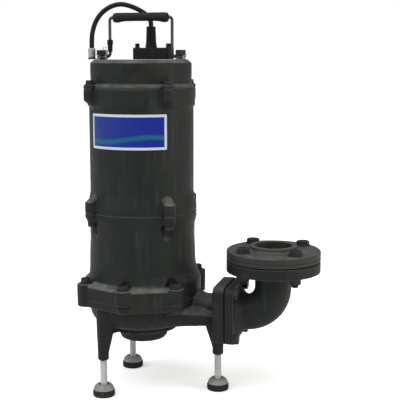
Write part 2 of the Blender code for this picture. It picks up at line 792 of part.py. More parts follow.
def oil_chamber(shop):
    """Lower housing with its bolt ring, and pockets under the upper lugs for the motor's bolts."""
    outline = (
        (0, BAND_RADIUS, CHAMBER_TOP), (0, BAND_RADIUS, 0.2960), (0, 0.0886, 0.2830), (0, 0.0882, 0.2610),
        (0, 0.0892, 0.2420), (0, 0.0898, 0.2220), (0.0005, 0.0904, 0.2130), (0.0011, 0.0912, 0.2078),
        (0.0018, 0.0924, 0.2030), (0.0026, 0.0936, 0.1980), (0.0032, 0.0948, 0.1938),
        (0.0024, 0.0964, 0.1914), (0, 0.0982, CHAMBER_RING_TOP), (0, RING_RADIUS, CHAMBER_RING_TOP - 0.0010),
        (0, RING_RADIUS, CHAMBER_BOTTOM),
    )
    rings = [(shift, 0, radius, height) for shift, radius, height in outline]
    chamber = lofted(shop, "oil_chamber", rings, ROUND_STEPS)
    join(
        shop, chamber,
        lugs(
            shop, "chamber_lugs", RING_ANGLES + SIDE_ANGLES, RING_PITCH, RING_LUG_RADIUS, RING_LUG_ROOT,
            CHAMBER_BOTTOM, CHAMBER_RING_TOP,
        ),
        webs(shop, "chamber_webs", CHAMBER_BOTTOM, CHAMBER_RING_TOP, WEB_CHAMFER),
        lugs(
            shop, "chamber_top_lugs", CORNER_ANGLES, COVER_PITCH, MOTOR_LUG_RADIUS, MOTOR_LUG_ROOT,
            CHAMBER_LUG_BOTTOM, CHAMBER_TOP,
        ),
        posts(
            shop, "chamber_lug_slopes", ring_places(CORNER_ANGLES, COVER_PITCH - CHAMBER_LUG_SLOPE),
            MOTOR_LUG_RADIUS - FIT_GAP, LOWER_LUG_BOTTOM - OVERLAP, CHAMBER_LUG_BOTTOM + OVERLAP / 4,
            lean=(CHAMBER_LUG_SLOPE,),
        ),
    )
    pocket_bottom = LOWER_LUG_BOTTOM - POCKET_HEIGHT
    cut(
        shop, chamber,
        posts(
            shop, "ring_spot_faces", ring_places(RING_ANGLES + SIDE_ANGLES, RING_PITCH), RING_SPOT_FACE,
            CHAMBER_RING_TOP, CHAMBER_RING_TOP + POCKET_FOOT_HEIGHT,
        ),
        posts(
            shop, "bolt_pockets", ring_places(CORNER_ANGLES, POCKET_PITCH), POCKET_RADIUS, pocket_bottom,
            LOWER_LUG_BOTTOM,
        ),
        posts(
            shop, "pocket_floors", ring_places(CORNER_ANGLES, POCKET_PITCH + POCKET_FOOT),
            POCKET_RADIUS - FIT_GAP, pocket_bottom - POCKET_FOOT_HEIGHT, pocket_bottom + OVERLAP / 2,
            lean=(-POCKET_FOOT,),
        ),
    )
    finish(shop, chamber, "painted_iron")


def motor_housing(shop):
    """Motor barrel with four lugs at its foot and four under its upper ring."""
    housing = turned(shop, "motor_housing", [
        (0, MOTOR_TOP), (UPPER_RING_RADIUS, MOTOR_TOP), (UPPER_RING_RADIUS, UPPER_RING_BOTTOM + 0.002),
        (BARREL_RADIUS, UPPER_RING_BOTTOM), (BARREL_RADIUS, 0.3380), (BAND_RADIUS, 0.3160),
        (BAND_RADIUS, MOTOR_BOTTOM), (0, MOTOR_BOTTOM),
    ])
    corners = ring_places(CORNER_ANGLES, COVER_PITCH)
    join(
        shop, housing,
        lugs(
            shop, "motor_foot_lugs", CORNER_ANGLES, COVER_PITCH, MOTOR_LUG_RADIUS, MOTOR_LUG_ROOT,
            MOTOR_BOTTOM, FOOT_LUG_TOP,
        ),
        posts(
            shop, "motor_foot_slopes", corners, MOTOR_LUG_RADIUS - FIT_GAP, FOOT_LUG_TOP - OVERLAP / 4,
            FOOT_LUG_TOP + SLOPE_HEIGHT, lean=(-LUG_SLOPE,),
        ),
        lugs(
            shop, "motor_top_lugs", CORNER_ANGLES, COVER_PITCH, COVER_LUG_RADIUS, MOTOR_LUG_ROOT,
            TOP_LUG_BOTTOM, MOTOR_TOP,
        ),
        posts(
            shop, "motor_top_slopes", ring_places(CORNER_ANGLES, COVER_PITCH - LUG_SLOPE),
            COVER_LUG_RADIUS - FIT_GAP, TOP_LUG_BOTTOM - SLOPE_HEIGHT, TOP_LUG_BOTTOM + OVERLAP / 4,
            lean=(LUG_SLOPE,),
        ),
    )
    finish(shop, housing, "painted_iron")


def handle_places():
    return [(-HANDLE_FOOT, 0), (HANDLE_FOOT, 0)]


def top_cover(shop):
    """Cover with four bolt lugs, a pad for the handle and threaded holes in its top."""
    cover = turned(shop, "top_cover", [
        (0, COVER_TOP), (COVER_TOP_RADIUS, COVER_TOP), (COVER_WALL, COVER_SHOULDER), (COVER_WALL, 0.5185),
        (0.0885, 0.5130), (UPPER_RING_RADIUS, 0.5115), (UPPER_RING_RADIUS, COVER_BOTTOM), (0, COVER_BOTTOM),
    ])
    handle_pad = posts(
        shop, "handle_pad", [(HANDLE_FOOT, 0)], HANDLE_FOOT_RADIUS, COVER_TOP - OVERLAP,
        COVER_TOP + CLIP_THICKNESS + FIT_GAP,
    )
    join(
        shop, cover, handle_pad,
        lugs(
            shop, "cover_lugs", CORNER_ANGLES, COVER_PITCH, COVER_LUG_RADIUS, COVER_LUG_ROOT, COVER_BOTTOM,
            COVER_LUG_TOP,
        ),
    )
    corners = ring_places(CORNER_ANGLES, COVER_PITCH)
    cut(
        shop, cover,
        posts(
            shop, "cover_spot_faces", corners, COVER_SPOT_FACE, COVER_LUG_TOP, COVER_LUG_TOP + SLOPE_HEIGHT
        ),
        posts(
            shop, "handle_holes", handle_places(), hole_radius(M10.shank), COVER_TOP - HANDLE_HOLE_DEPTH,
            COVER_TOP + HANDLE_HOLE_DEPTH, sides=BOLT_SIDES,
        ),
    )
    finish(shop, cover, "painted_iron")


def name_plate(shop):
    """Thin blank plate that follows the front of the barrel."""
    inner, outer = BARREL_RADIUS + FIT_GAP, BARREL_RADIUS + FIT_GAP + PLATE_THICKNESS
    start, end, steps = -90 - PLATE_HALF_ANGLE, -90 + PLATE_HALF_ANGLE, 12
    outline = ellipse_points((0, 0), outer, outer, start, end, steps)
    outline += ellipse_points((0, 0), inner, inner, end, start, steps)
    finish(shop, plates(shop, "name_plate", [outline], PLATE_BOTTOM, PLATE_TOP), "plate_film")


def handle(shop):
    """Bent rod handle with a plastic grip and a tie collar on one leg."""
    foot_bottom = COVER_TOP + CLIP_THICKNESS + 2 * FIT_GAP
    foot_middle = foot_bottom + HANDLE_FOOT_THICKNESS / 2
    corner_x, corner_z = HANDLE_HALF - HANDLE_BEND, GRIP_HEIGHT - HANDLE_BEND
    corner = ellipse_points((corner_x, corner_z), HANDLE_BEND, HANDLE_BEND, 0, 90, 5)
    right = [
        (HANDLE_FOOT - 0.004, foot_middle), (0.0590, foot_middle + 0.0003), (0.0552, foot_middle + 0.0022),
        (HANDLE_HALF, foot_middle + 0.0065), *corner,
    ]
    left = [(-across, up) for across, up in reversed(right)]
    points = [(across, 0, up) for across, up in right + left]
    bar = tube(shop, "handle_rod", points, HANDLE_ROD, 2)
    feet = posts(
        shop, "handle_feet", handle_places(), HANDLE_FOOT_RADIUS, foot_bottom,
        foot_bottom + HANDLE_FOOT_THICKNESS,
    )
    trims = block(
        shop, "foot_trim", (-0.1, -0.02, COVER_TOP - 0.02), (0.1, 0.02, foot_bottom)
    )
    join(shop, bar, feet)
    cut(
        shop, bar, trims,
        posts(
            shop, "foot_holes", handle_places(), hole_radius(M10.shank), foot_bottom - OVERLAP,
            foot_bottom + HANDLE_HOLE_DEPTH, sides=BOLT_SIDES,
        ),
        posts(
            shop, "foot_spot_faces", handle_places(), HANDLE_SPOT_FACE, foot_bottom + HANDLE_FOOT_THICKNESS,
            foot_bottom + HANDLE_HOLE_DEPTH,
        ),
    )
    finish(shop, bar, "bright_steel")

    bore = HANDLE_ROD + FIT_GAP
    half = [(0.0465, 0.0036), (0.0400, GRIP_END_RADIUS), (0.0330, 0.0068), (0.0250, GRIP_RADIUS)]
    profile = [(bore, 0.0465)] + [(radius, across) for across, radius in half]
    profile += [(radius, -across) for across, radius in reversed(half)] + [(bore, -0.0465)]
    grip = turned(shop, "handle_grip", profile, steps=16)
    grip.rotation_euler = (0, math.pi / 2, 0)
    grip.location = (0, 0, GRIP_HEIGHT)
    finish(shop, grip, "black_plastic")

    tie = turned(shop, "handle_tie", [
        (0.0044, TIE_HEIGHT + 0.004), (0.0050, TIE_HEIGHT), (0.0044, TIE_HEIGHT - 0.004),
        (bore, TIE_HEIGHT - 0.004), (bore, TIE_HEIGHT + 0.004),
    ], (-HANDLE_HALF, 0), 12)
    finish(shop, tie, "rubber")


def cable_gland(shop):
    """Two-bolt gland plate with the rubber sleeve that the lead comes out of."""
    low = (GLAND_PLATE_X - GLAND_HALF_LENGTH, GLAND_Y - GLAND_HALF_WIDTH, COVER_TOP + FIT_GAP)
    high = (GLAND_PLATE_X + GLAND_HALF_LENGTH, GLAND_Y + GLAND_HALF_WIDTH, GLAND_PLATE_TOP)
    finish(shop, block(shop, "gland_plate", low, high, 0.009, "Z"), "painted_iron")

    sleeve = turned(shop, "gland_sleeve", [
        (0, SLEEVE_TOP), (SLEEVE_TOP_RADIUS - 0.0015, SLEEVE_TOP), (SLEEVE_TOP_RADIUS, SLEEVE_TOP - 0.0020),
        (SLEEVE_RADIUS, 0.5820), (SLEEVE_RADIUS + 0.0012, GLAND_PLATE_TOP + FIT_GAP),
        (0, GLAND_PLATE_TOP + FIT_GAP),
    ], (GLAND_X, GLAND_Y), 24)
    finish(shop, sleeve, "rubber")


def smooth_route(points, step):
    """Points about one step apart on a smooth curve through the given points."""
    knots = [Vector(point) for point in points]
    ends = [knots[0] * 2 - knots[1], *knots, knots[-1] * 2 - knots[-2]]
    fine = []
    for before, start, end, after in zip(ends, ends[1:], ends[2:], ends[3:]):
        for tick in range(10):
            t = tick / 10
            fine.append((
                start * 2 + (end - before) * t + (before * 2 - start * 5 + end * 4 - after) * t ** 2
                + (start * 3 - before - end * 3 + after) * t ** 3
            ) / 2)
    fine.append(knots[-1])
    spaced = [fine[0]]
    for point in fine:
        if (point - spaced[-1]).length >= step:
            spaced.append(point)
    spaced[-1] = fine[-1]
    return spaced


def power_lead(shop):
    """Lead from the gland's sleeve, over the handle, to the end cup on its clip."""
    route = smooth_route(LEAD_ROUTE, LEAD_STEP)
    exit_point = (*route[0][:2], SLEEVE_TOP + FIT_GAP)
    end_point = (*route[-1][:2], CLIP_TOP + FIT_GAP)
    lead = tube(shop, "power_lead", [exit_point, *route, end_point], LEAD_RADIUS, 3)
    finish(shop, lead, "lead_sheath")
    strap_bottom = COVER_TOP + FIT_GAP
    strap_top = strap_bottom + CLIP_THICKNESS
    clip = block(
        shop, "lead_clip", (CLIP_X - CLIP_HALF_WIDTH, -CLIP_HALF_WIDTH, strap_bottom),
        (-HANDLE_FOOT + HANDLE_FOOT_RADIUS, CLIP_HALF_WIDTH, strap_top), 0.003, "Z",
    )
    cup = posts(shop, "clip_cup", [(CLIP_X, 0)], CLIP_RADIUS, strap_bottom + CLIP_THICKNESS / 2, CLIP_TOP)
    join(shop, clip, cup)
    hole = posts(
        shop, "clip_hole", [(-HANDLE_FOOT, 0)], hole_radius(M10.shank), strap_bottom - OVERLAP,
        strap_top + OVERLAP, sides=BOLT_SIDES,
    )
    cut(shop, clip, hole)
    finish(shop, clip, "bright_steel")


def fasteners(shop):
    """Bolts and nuts that hold the discharge flanges, the elbow and the handle."""
    handle_foot_top = COVER_TOP + CLIP_THICKNESS + 2 * FIT_GAP + HANDLE_FOOT_THICKNESS
    repeated(
        shop, "discharge_bolt", bolt_shape(shop, "flange_bolt", M12, DISCHARGE_BOLT_LENGTH),
        upright(discharge_places(), COMPANION_TOP + FIT_GAP),
    )
    repeated(
        shop, "discharge_nut", nut_shape(shop, "flange_nut", M12, 0.010),
        upright(discharge_places(), ELBOW_FLANGE_BOTTOM - FIT_GAP),
    )
    repeated(
        shop, "outlet_bolt", bolt_shape(shop, "elbow_bolt", M10_FLANGED, 0.034),
        outlet_bolt_spots(ELBOW_FLANGE_FRONT + FIT_GAP),
    )
    repeated(
        shop, "handle_bolt", bolt_shape(shop, "foot_bolt", M10, 0.018),
        upright(handle_places(), handle_foot_top + FIT_GAP),
    )


def feet(shop):
    """Three feet, each a rubber pad, a pressed cup and a stud on its own upright axis."""
    cup_bottom = PAD_HEIGHT + FIT_GAP
    for number, place in enumerate(FOOT_PLACES, 1):
        axis = shop.new_empty(f"foot_{number}_axis", (*place, 0), shop.axis)
        pad = turned(shop, f"foot_{number}_pad", [
            (0, PAD_HEIGHT), (PAD_RADIUS - 0.001, PAD_HEIGHT), (PAD_RADIUS, PAD_HEIGHT - 0.002),
            (PAD_RADIUS, 0.002), (PAD_RADIUS - 0.0015, 0), (0, 0),
        ], steps=24, parent=axis)
        finish(shop, pad, "rubber")
        cup = turned(shop, f"foot_{number}_cup", [
            (0, CUP_TOP), (0.0082, CUP_TOP), (0.0082, 0.0198), (0.0145, 0.0165), (0.0172, cup_bottom),
            (0, cup_bottom),
        ], steps=24, parent=axis)
        finish(shop, cup, "cup_steel")
        stud = turned(shop, f"foot_{number}_stud", [
            (0, STUD_TOP), (STUD_RADIUS - 0.001, STUD_TOP), (STUD_RADIUS, STUD_TOP - 0.001),
            (STUD_RADIUS, CUP_TOP + FIT_GAP), (0, CUP_TOP + FIT_GAP),
        ], steps=16, parent=axis)
        finish(shop, stud, "bright_steel")


def main():
    clear_scene()
    shop = Workshop()
    feet(shop)
    volute_casing(shop)
    suction_side(shop)
    discharge_elbow(shop)
    companion_flange(shop)
    oil_chamber(shop)
    motor_housing(shop)
    top_cover(shop)
    name_plate(shop)
    handle(shop)
    cable_gland(shop)
    power_lead(shop)
    fasteners(shop)


main()
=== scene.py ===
"""Looks of a submersible grinder pump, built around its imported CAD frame.

Metres, +Z up, in the frame of the CAD. The motor stands upright at MOTOR_X, the name plate faces -Y
and the discharge opens upwards on +X. Each casting is one skin around its CAD solid and a few finer
shapes, so that its edges and roots get the soft radii of a sand casting.
"""

import logging
import math
from dataclasses import dataclass, field, replace
from enum import Enum
from typing import Iterable, Sequence

import bmesh
import bpy
import numpy as np
from mathutils import Matrix, Vector, noise


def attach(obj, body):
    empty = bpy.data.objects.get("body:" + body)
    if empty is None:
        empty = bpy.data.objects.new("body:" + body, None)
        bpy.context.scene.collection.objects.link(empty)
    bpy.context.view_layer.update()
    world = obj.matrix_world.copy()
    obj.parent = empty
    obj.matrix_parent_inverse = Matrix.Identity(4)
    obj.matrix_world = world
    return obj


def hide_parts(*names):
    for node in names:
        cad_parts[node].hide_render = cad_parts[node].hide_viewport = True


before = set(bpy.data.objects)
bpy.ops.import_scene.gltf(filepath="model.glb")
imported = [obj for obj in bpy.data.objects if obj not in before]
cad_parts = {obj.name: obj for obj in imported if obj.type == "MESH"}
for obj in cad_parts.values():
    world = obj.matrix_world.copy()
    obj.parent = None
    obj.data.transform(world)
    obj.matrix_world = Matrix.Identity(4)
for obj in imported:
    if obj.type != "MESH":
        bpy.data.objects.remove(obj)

LOG = logging.getLogger("grinder_pump")
MOTOR_X = -0.102
TINY = 1e-7
SMOOTH_LIMIT = math.radians(34)
CAD_FACETS = 48
HALF_TURN = Matrix.Rotation(math.pi, 4, "X")
QUARTER_TURN = Matrix.Rotation(math.pi / 2, 4, "Y")
CORNER_ANGLES = (45, 135, 225, 315)
WHITE = (1.0, 1.0, 1.0)
# Near black that hollows are darkened towards: painted shade, with dirt.
SHADE_AND_GRIME = (0.008, 0.008, 0.008)
MIX_FACTOR, MIX_FIRST, MIX_SECOND, MIX_RESULT = 0, 6, 7, 2

Point = tuple[float, float, float]
Pair = tuple[float, float]
Colour = tuple[float, float, float]


class Body(Enum):
    """Moving bodies of the CAD model."""

    PUMP = "pump"
    FOOT_1 = "foot_1"
    FOOT_2 = "foot_2"
    FOOT_3 = "foot_3"


class Slot(Enum):
    """Material slots of the part's record."""

    PAINTED_IRON = "painted_iron"
    FLANGE_IRON = "flange_iron"
    BOLT_STEEL = "bolt_steel"
    BRIGHT_STEEL = "bright_steel"
    CUP_STEEL = "cup_steel"
    CUTTER_STEEL = "cutter_steel"
    RUBBER = "rubber"
    BLACK_PLASTIC = "black_plastic"
    LEAD_SHEATH = "lead_sheath"
    GASKET = "gasket"
    PLATE_FILM = "plate_film"


class Look(Enum):
    """Finishes that differ from the usual one of their slot."""

    HANDLE_ROD = "handle_rod"
    FOOT_STUD = "foot_stud"
    FERRULE = "ferrule"
    SMOOTH_RUBBER = "smooth_rubber"
    # Shaded copy of the painted iron, with less painted top light.
    SHELTERED_IRON = "sheltered_iron"


@dataclass
class Shape:
    """Points and faces that become one mesh."""

    points: list[Point] = field(default_factory=list)
    faces: list[tuple[int, ...]] = field(default_factory=list)

    def add(self, other: "Shape", spot: Matrix | None = None) -> "Shape":
        """Adds another shape.

        Args:
            other: The shape to add.
            spot: Where it goes, or None to leave it where it is.

        Returns:
            This shape, so that calls can be chained.
        """
        first = len(self.points)
        if spot is None:
            self.points += other.points
        else:
            self.points += [tuple(spot @ Vector(point)) for point in other.points]
        self.faces += [tuple(first + corner for corner in face) for face in other.faces]
        return self

    def placed(self, spot: Matrix) -> "Shape":
        """Copy of this shape at another place."""
        return Shape().add(self, spot)

    @staticmethod
    def of_node(node: str) -> "Shape":
        """Surface of a CAD node."""
        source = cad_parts[node].data
        return Shape(
            [tuple(point.co) for point in source.vertices], [tuple(face.vertices) for face in source.polygons]
        )


def polar(angle: float, radius: float) -> Pair:
    """Place at an angle in degrees and a distance from an axis."""
    return radius * math.cos(math.radians(angle)), radius * math.sin(math.radians(angle))


def hexagon_reach(flats: float, angle: float) -> float:
    """Distance from the axis of a hexagon to its side, at an angle in degrees."""
    return flats / 2 / math.cos(math.radians((angle + 30) % 60 - 30))


def arc(centre: Pair, across: float, up: float, start: float, end: float, steps: int) -> list[Pair]:
    """Points of an ellipse.

    Args:
        centre: Its middle.
        across: Half its width.
        up: Half its height.
        start: First angle, in degrees.
        end: Last angle, in degrees.
        steps: Number of stretches between the points.

    Returns:
        The points, both ends included.
    """
    angles = [math.radians(start + (end - start) * step / steps) for step in range(steps + 1)]
    return [(centre[0] + across * math.cos(turn), centre[1] + up * math.sin(turn)) for turn in angles]


def skinned(rows: Sequence[Sequence[Point]], ring: bool = False) -> Shape:
    """Surface through rows of points.

    Args:
        rows: Closed rows of equal length. A row of one point closes an end.
        ring: True where the last row meets the first again.

    Returns:
        The closed surface.
    """
    shape = Shape()
    numbers = []
    for row in rows:
        numbers.append([len(shape.points) + step for step in range(len(row))])
        shape.points += [tuple(point) for point in row]
    count = max(len(row) for row in rows)
    pairs = list(zip(numbers, numbers[1:]))
    if ring:
        pairs.append((numbers[-1], numbers[0]))
    for above, below in pairs:
        for step in range(count):
            after = step + 1
            corners = (
                above[step % len(above)], below[step % len(below)],
                below[after % len(below)], above[after % len(above)],
            )
            face = tuple(dict.fromkeys(corners))
            if len(face) > 2:
                shape.faces.append(face)
    return shape


def lathe(profile: Sequence[Pair], steps: int = 96, ring: bool = False) -> Shape:
    """Shape turned about +Z.

    Args:
        profile: Radius and height pairs. A pair on the axis closes an end.
        steps: Points around.
        ring: True for a profile that closes on itself away from the axis.

    Returns:
        The turned shape.
    """
    rows = []
    for radius, height in profile:
        count = steps if radius > TINY else 1
        rows.append([(*polar(360 * step / count, radius), height) for step in range(count)])
    return skinned(rows, ring)


def rings(path: Sequence[Sequence[float]], radii: Sequence[float], sides: int) -> list[list[Point]]:
    """Circles across a path.

    Args:
        path: Points of the middle line.
        radii: Radius at each point.
        sides: Points around.

    Returns:
        One row for each point of the path.
    """
    line = [Vector(point) for point in path]
    rows = []
    side = None
    for number, middle in enumerate(line):
        ahead = (line[min(number + 1, len(line) - 1)] - line[max(number - 1, 0)]).normalized()
        side = ahead.orthogonal() if side is None else side
        side = (side - ahead * side.dot(ahead)).normalized()
        up = ahead.cross(side)
        row = []
        for step in range(sides):
            turn = math.tau * step / sides
            row.append(tuple(middle + (side * math.cos(turn) + up * math.sin(turn)) * radii[number]))
        rows.append(row)
    return rows


def swept(path: Sequence[Sequence[float]], radius: float | Sequence[float], sides: int = 24) -> Shape:
    """Round bar along a path, closed at both ends.

    Args:
        path: Points of its middle line.
        radius: One radius, or one for each point.
        sides: Points around.

    Returns:
        The bar.
    """
    radii = list(radius) if isinstance(radius, Sequence) else [radius] * len(path)
    return skinned([[tuple(path[0])], *rings(path, radii, sides), [tuple(path[-1])]])


def pipe(path: Sequence[Sequence[float]], outer: float, inner: float, sides: int = 72) -> Shape:
    """Open pipe along a path.

    Args:
        path: Points of its middle line.
        outer: Radius of the outer wall.
        inner: Radius of the inner wall.
        sides: Points around.

    Returns:
        The pipe, with both walls and its two end faces.
    """
    walls = rings(path, [outer] * len(path), sides)
    lining = rings(path, [inner] * len(path), sides)
    return skinned([*walls, *reversed(lining)], ring=True)


def prism(outline: Sequence[Pair], bottom: float, top: float, edge: float = 0.0) -> Shape:
    """Upright plate with an outline and bevelled edges.

    Args:
        outline: Convex outline, seen from above.
        bottom: Lower height.
        top: Upper height.
        edge: Width of the bevel around both faces.

    Returns:
        The plate.
    """
    middle = Vector((sum(x for x, y in outline), sum(y for x, y in outline))) / len(outline)

    def row(height: float, inset: float) -> list[Point]:
        """Outline at a height.

        Args:
            height: The height.
            inset: How far it is drawn in towards the middle.

        Returns:
            Its points.
        """
        points = []
        for corner in outline:
            away = Vector(corner) - middle
            points.append((*(middle + away * (1 - inset / away.length)), height))
        return points

    rows = [row(bottom, edge), row(bottom + edge, 0), row(top - edge, 0), row(top, edge)]
    rows = [[(*middle, bottom)], *rows, [(*middle, top)]]
    return skinned(rows)


@dataclass(frozen=True)
class HexSize:
    """Hexagon fastener: shank radius, width across flats, head height and thread pitch."""

    shank: float
    flats: float
    height: float
    pitch: float
    chamfer: float = 0.955
    chamfer_angle: float = 28.0
    dish: float = 0.00015

    def body(self, height: float | None = None, bore: float = 0.0, under: bool = False) -> Shape:
        """Hexagon with the round chamfer that turning leaves.

        Args:
            height: Height of the body, or None for the head height.
            bore: Radius of a hole right through.
            under: True for a chamfer on the lower side too.

        Returns:
            The hexagon, standing on zero height.
        """
        height = height or self.height
        angles = [3.75 * step for step in range(96)]
        rim = self.flats / 2 * self.chamfer
        slope = math.tan(math.radians(self.chamfer_angle))

        def side(base: float, sign: float) -> list[Point]:
            """Row where the flats meet the chamfer.

            Args:
                base: Height of the face beside the chamfer.
                sign: 1 for the upper face, -1 for the lower one.

            Returns:
                Its points.
            """
            row = []
            for angle in angles:
                reach = hexagon_reach(self.flats, angle)
                row.append((*polar(angle, reach), base - sign * (reach - rim) * slope))
            return row

        def circle(radius: float, up: float) -> list[Point]:
            """Round row."""
            return [(*polar(angle, radius), up) for angle in angles]

        rows = []
        if bore:
            rows.append(circle(bore, 0))
        else:
            rows.append([(0, 0, 0)])
        if under:
            rows += [circle(rim, 0), side(0, -1)]
        else:
            rows.append([(*polar(angle, hexagon_reach(self.flats, angle)), 0) for angle in angles])
        rows += [side(height, 1), circle(rim, height)]
        if bore:
            rows += [circle(bore * 1.12, height), circle(bore, height - bore * 0.12)]
            return skinned(rows, ring=True)
        floor = height - self.dish
        rows += [circle(rim * 0.86, height), circle(rim * 0.82, floor), [(0, 0, floor)]]
        return skinned(rows)

    def washer(self, radius: float, height: float) -> Shape:
        """Flat washer with rounded rims, standing on zero height."""
        soft = height * 0.28
        return lathe([
            (self.shank, 0), (radius - soft, 0), (radius, soft), (radius, height - soft),
            (radius - soft, height), (self.shank, height),
        ], 64, ring=True)


def threaded(radius: float, bottom: float, top: float, pitch: float, sides: int = 24) -> Shape:
    """Screw thread as one closed skin.

    Args:
        radius: Outer radius of the thread.
        bottom: Lower end.
        top: Upper end.
        pitch: Height of one turn.
        sides: Points around.

    Returns:
        The threaded rod.
    """
    depth, crest, flank, rows_per_turn = 0.54 * pitch, 0.18, 0.68, 6
    count = math.ceil((top - bottom) / pitch * rows_per_turn)
    rows = [[(0, 0, bottom)]]
    for number in range(count + 1):
        height = bottom + (top - bottom) * number / count
        ends = min(height - bottom, top - height)
        row = []
        for step in range(sides):
            phase = (height / pitch - step / sides) % 1
            groove = min(1.0, max(0.0, (abs(2 * phase - 1) - crest) / flank))
            reach = min(radius - depth * groove, radius - depth + ends)
            row.append((*polar(360 * step / sides, reach), height))
        rows.append(row)
    rows.append([(0, 0, top)])
    return skinned(rows)


def cap_screw(radius: float, height: float, recess: float) -> Shape:
    """Socket head with a knurled side.

    Args:
        radius: Radius of the head.
        height: Height of the head.
        recess: Width across the flats of the socket.

    Returns:
        The head, standing on zero height.
    """
    angles = [5 * step for step in range(72)]

    soft, knurl, floor = radius * 0.1, radius * 0.035, height * 0.45

    def row(reach: float, up: float, depth: float = 0.0) -> list[Point]:
        """Round row, with every other point drawn in by the knurl's depth."""
        return [(*polar(angle, reach - depth * (step % 2)), up) for step, angle in enumerate(angles)]

    def socket(factor: float, up: float) -> list[Point]:
        """Hexagon row, wider than the recess by a factor."""
        return [(*polar(angle, hexagon_reach(recess, angle) * factor), up) for angle in angles]

    rows = [
        [(0, 0, 0)], row(radius - knurl, 0), row(radius, knurl, knurl), row(radius, height - soft * 2, knurl),
        row(radius - knurl, height - soft * 1.6), row(radius - soft, height), socket(1.08, height),
        socket(1.0, height - soft * 0.5), socket(1.0, floor), [(0, 0, floor)],
    ]
    return skinned(rows)


class Wiring:
    """Adds nodes to one tree and links them."""

    def __init__(self, tree: bpy.types.NodeTree) -> None:
        """Keeps the tree."""
        self.tree = tree

    def feed(self, socket: bpy.types.NodeSocket, value: object) -> None:
        """Links a socket or sets its value.

        Args:
            socket: The input to fill.
            value: Another socket, a number, or three numbers for a colour or a vector.
        """
        if isinstance(value, bpy.types.NodeSocket):
            self.tree.links.new(value, socket)
        elif socket.type == "RGBA":
            socket.default_value = (*value, 1)
        else:
            socket.default_value = value

    def add(self, kind: str, feeds: dict | None = None, **settings: object) -> bpy.types.Node:
        """Makes a node.

        Args:
            kind: Blender's name of the node type.
            feeds: Input names or numbers, with what goes into each.
            **settings: Properties of the node.

        Returns:
            The node.
        """
        node = self.tree.nodes.new(kind)
        for name, value in settings.items():
            setattr(node, name, value)
        for name, value in (feeds or {}).items():
            self.feed(node.inputs[name], value)
        return node

    def calc(self, operation: str, first: object, second: object = 0.0) -> bpy.types.NodeSocket:
        """Result of a math operation."""
        return self.add("ShaderNodeMath", {0: first, 1: second}, operation=operation).outputs[0]

    def span(
        self, value: object, low: float, high: float, start: float = 0.0, end: float = 1.0
    ) -> bpy.types.NodeSocket:
        """Clamped result of mapping a range to another one."""
        feeds = {"Value": value, "From Min": low, "From Max": high, "To Min": start, "To Max": end}
        return self.add("ShaderNodeMapRange", feeds, clamp=True).outputs["Result"]

    def cloud(
        self, vector: object, scale: object, detail: float = 2.0, rough: float = 0.5
    ) -> bpy.types.NodeSocket:
        """Noise value."""
        feeds = {"Vector": vector, "Scale": scale, "Detail": detail, "Roughness": rough}
        return self.add("ShaderNodeTexNoise", feeds).outputs[0]

    def blend(self, factor: object, first: object, second: object) -> bpy.types.NodeSocket:
        """Mix of two colours.

        Args:
            factor: Share of the second colour.
            first: First colour.
            second: Second colour.

        Returns:
            The mixed colour.
        """
        feeds = {MIX_FACTOR: factor, MIX_FIRST: first, MIX_SECOND: second}
        return self.add("ShaderNodeMix", feeds, data_type="RGBA").outputs[MIX_RESULT]


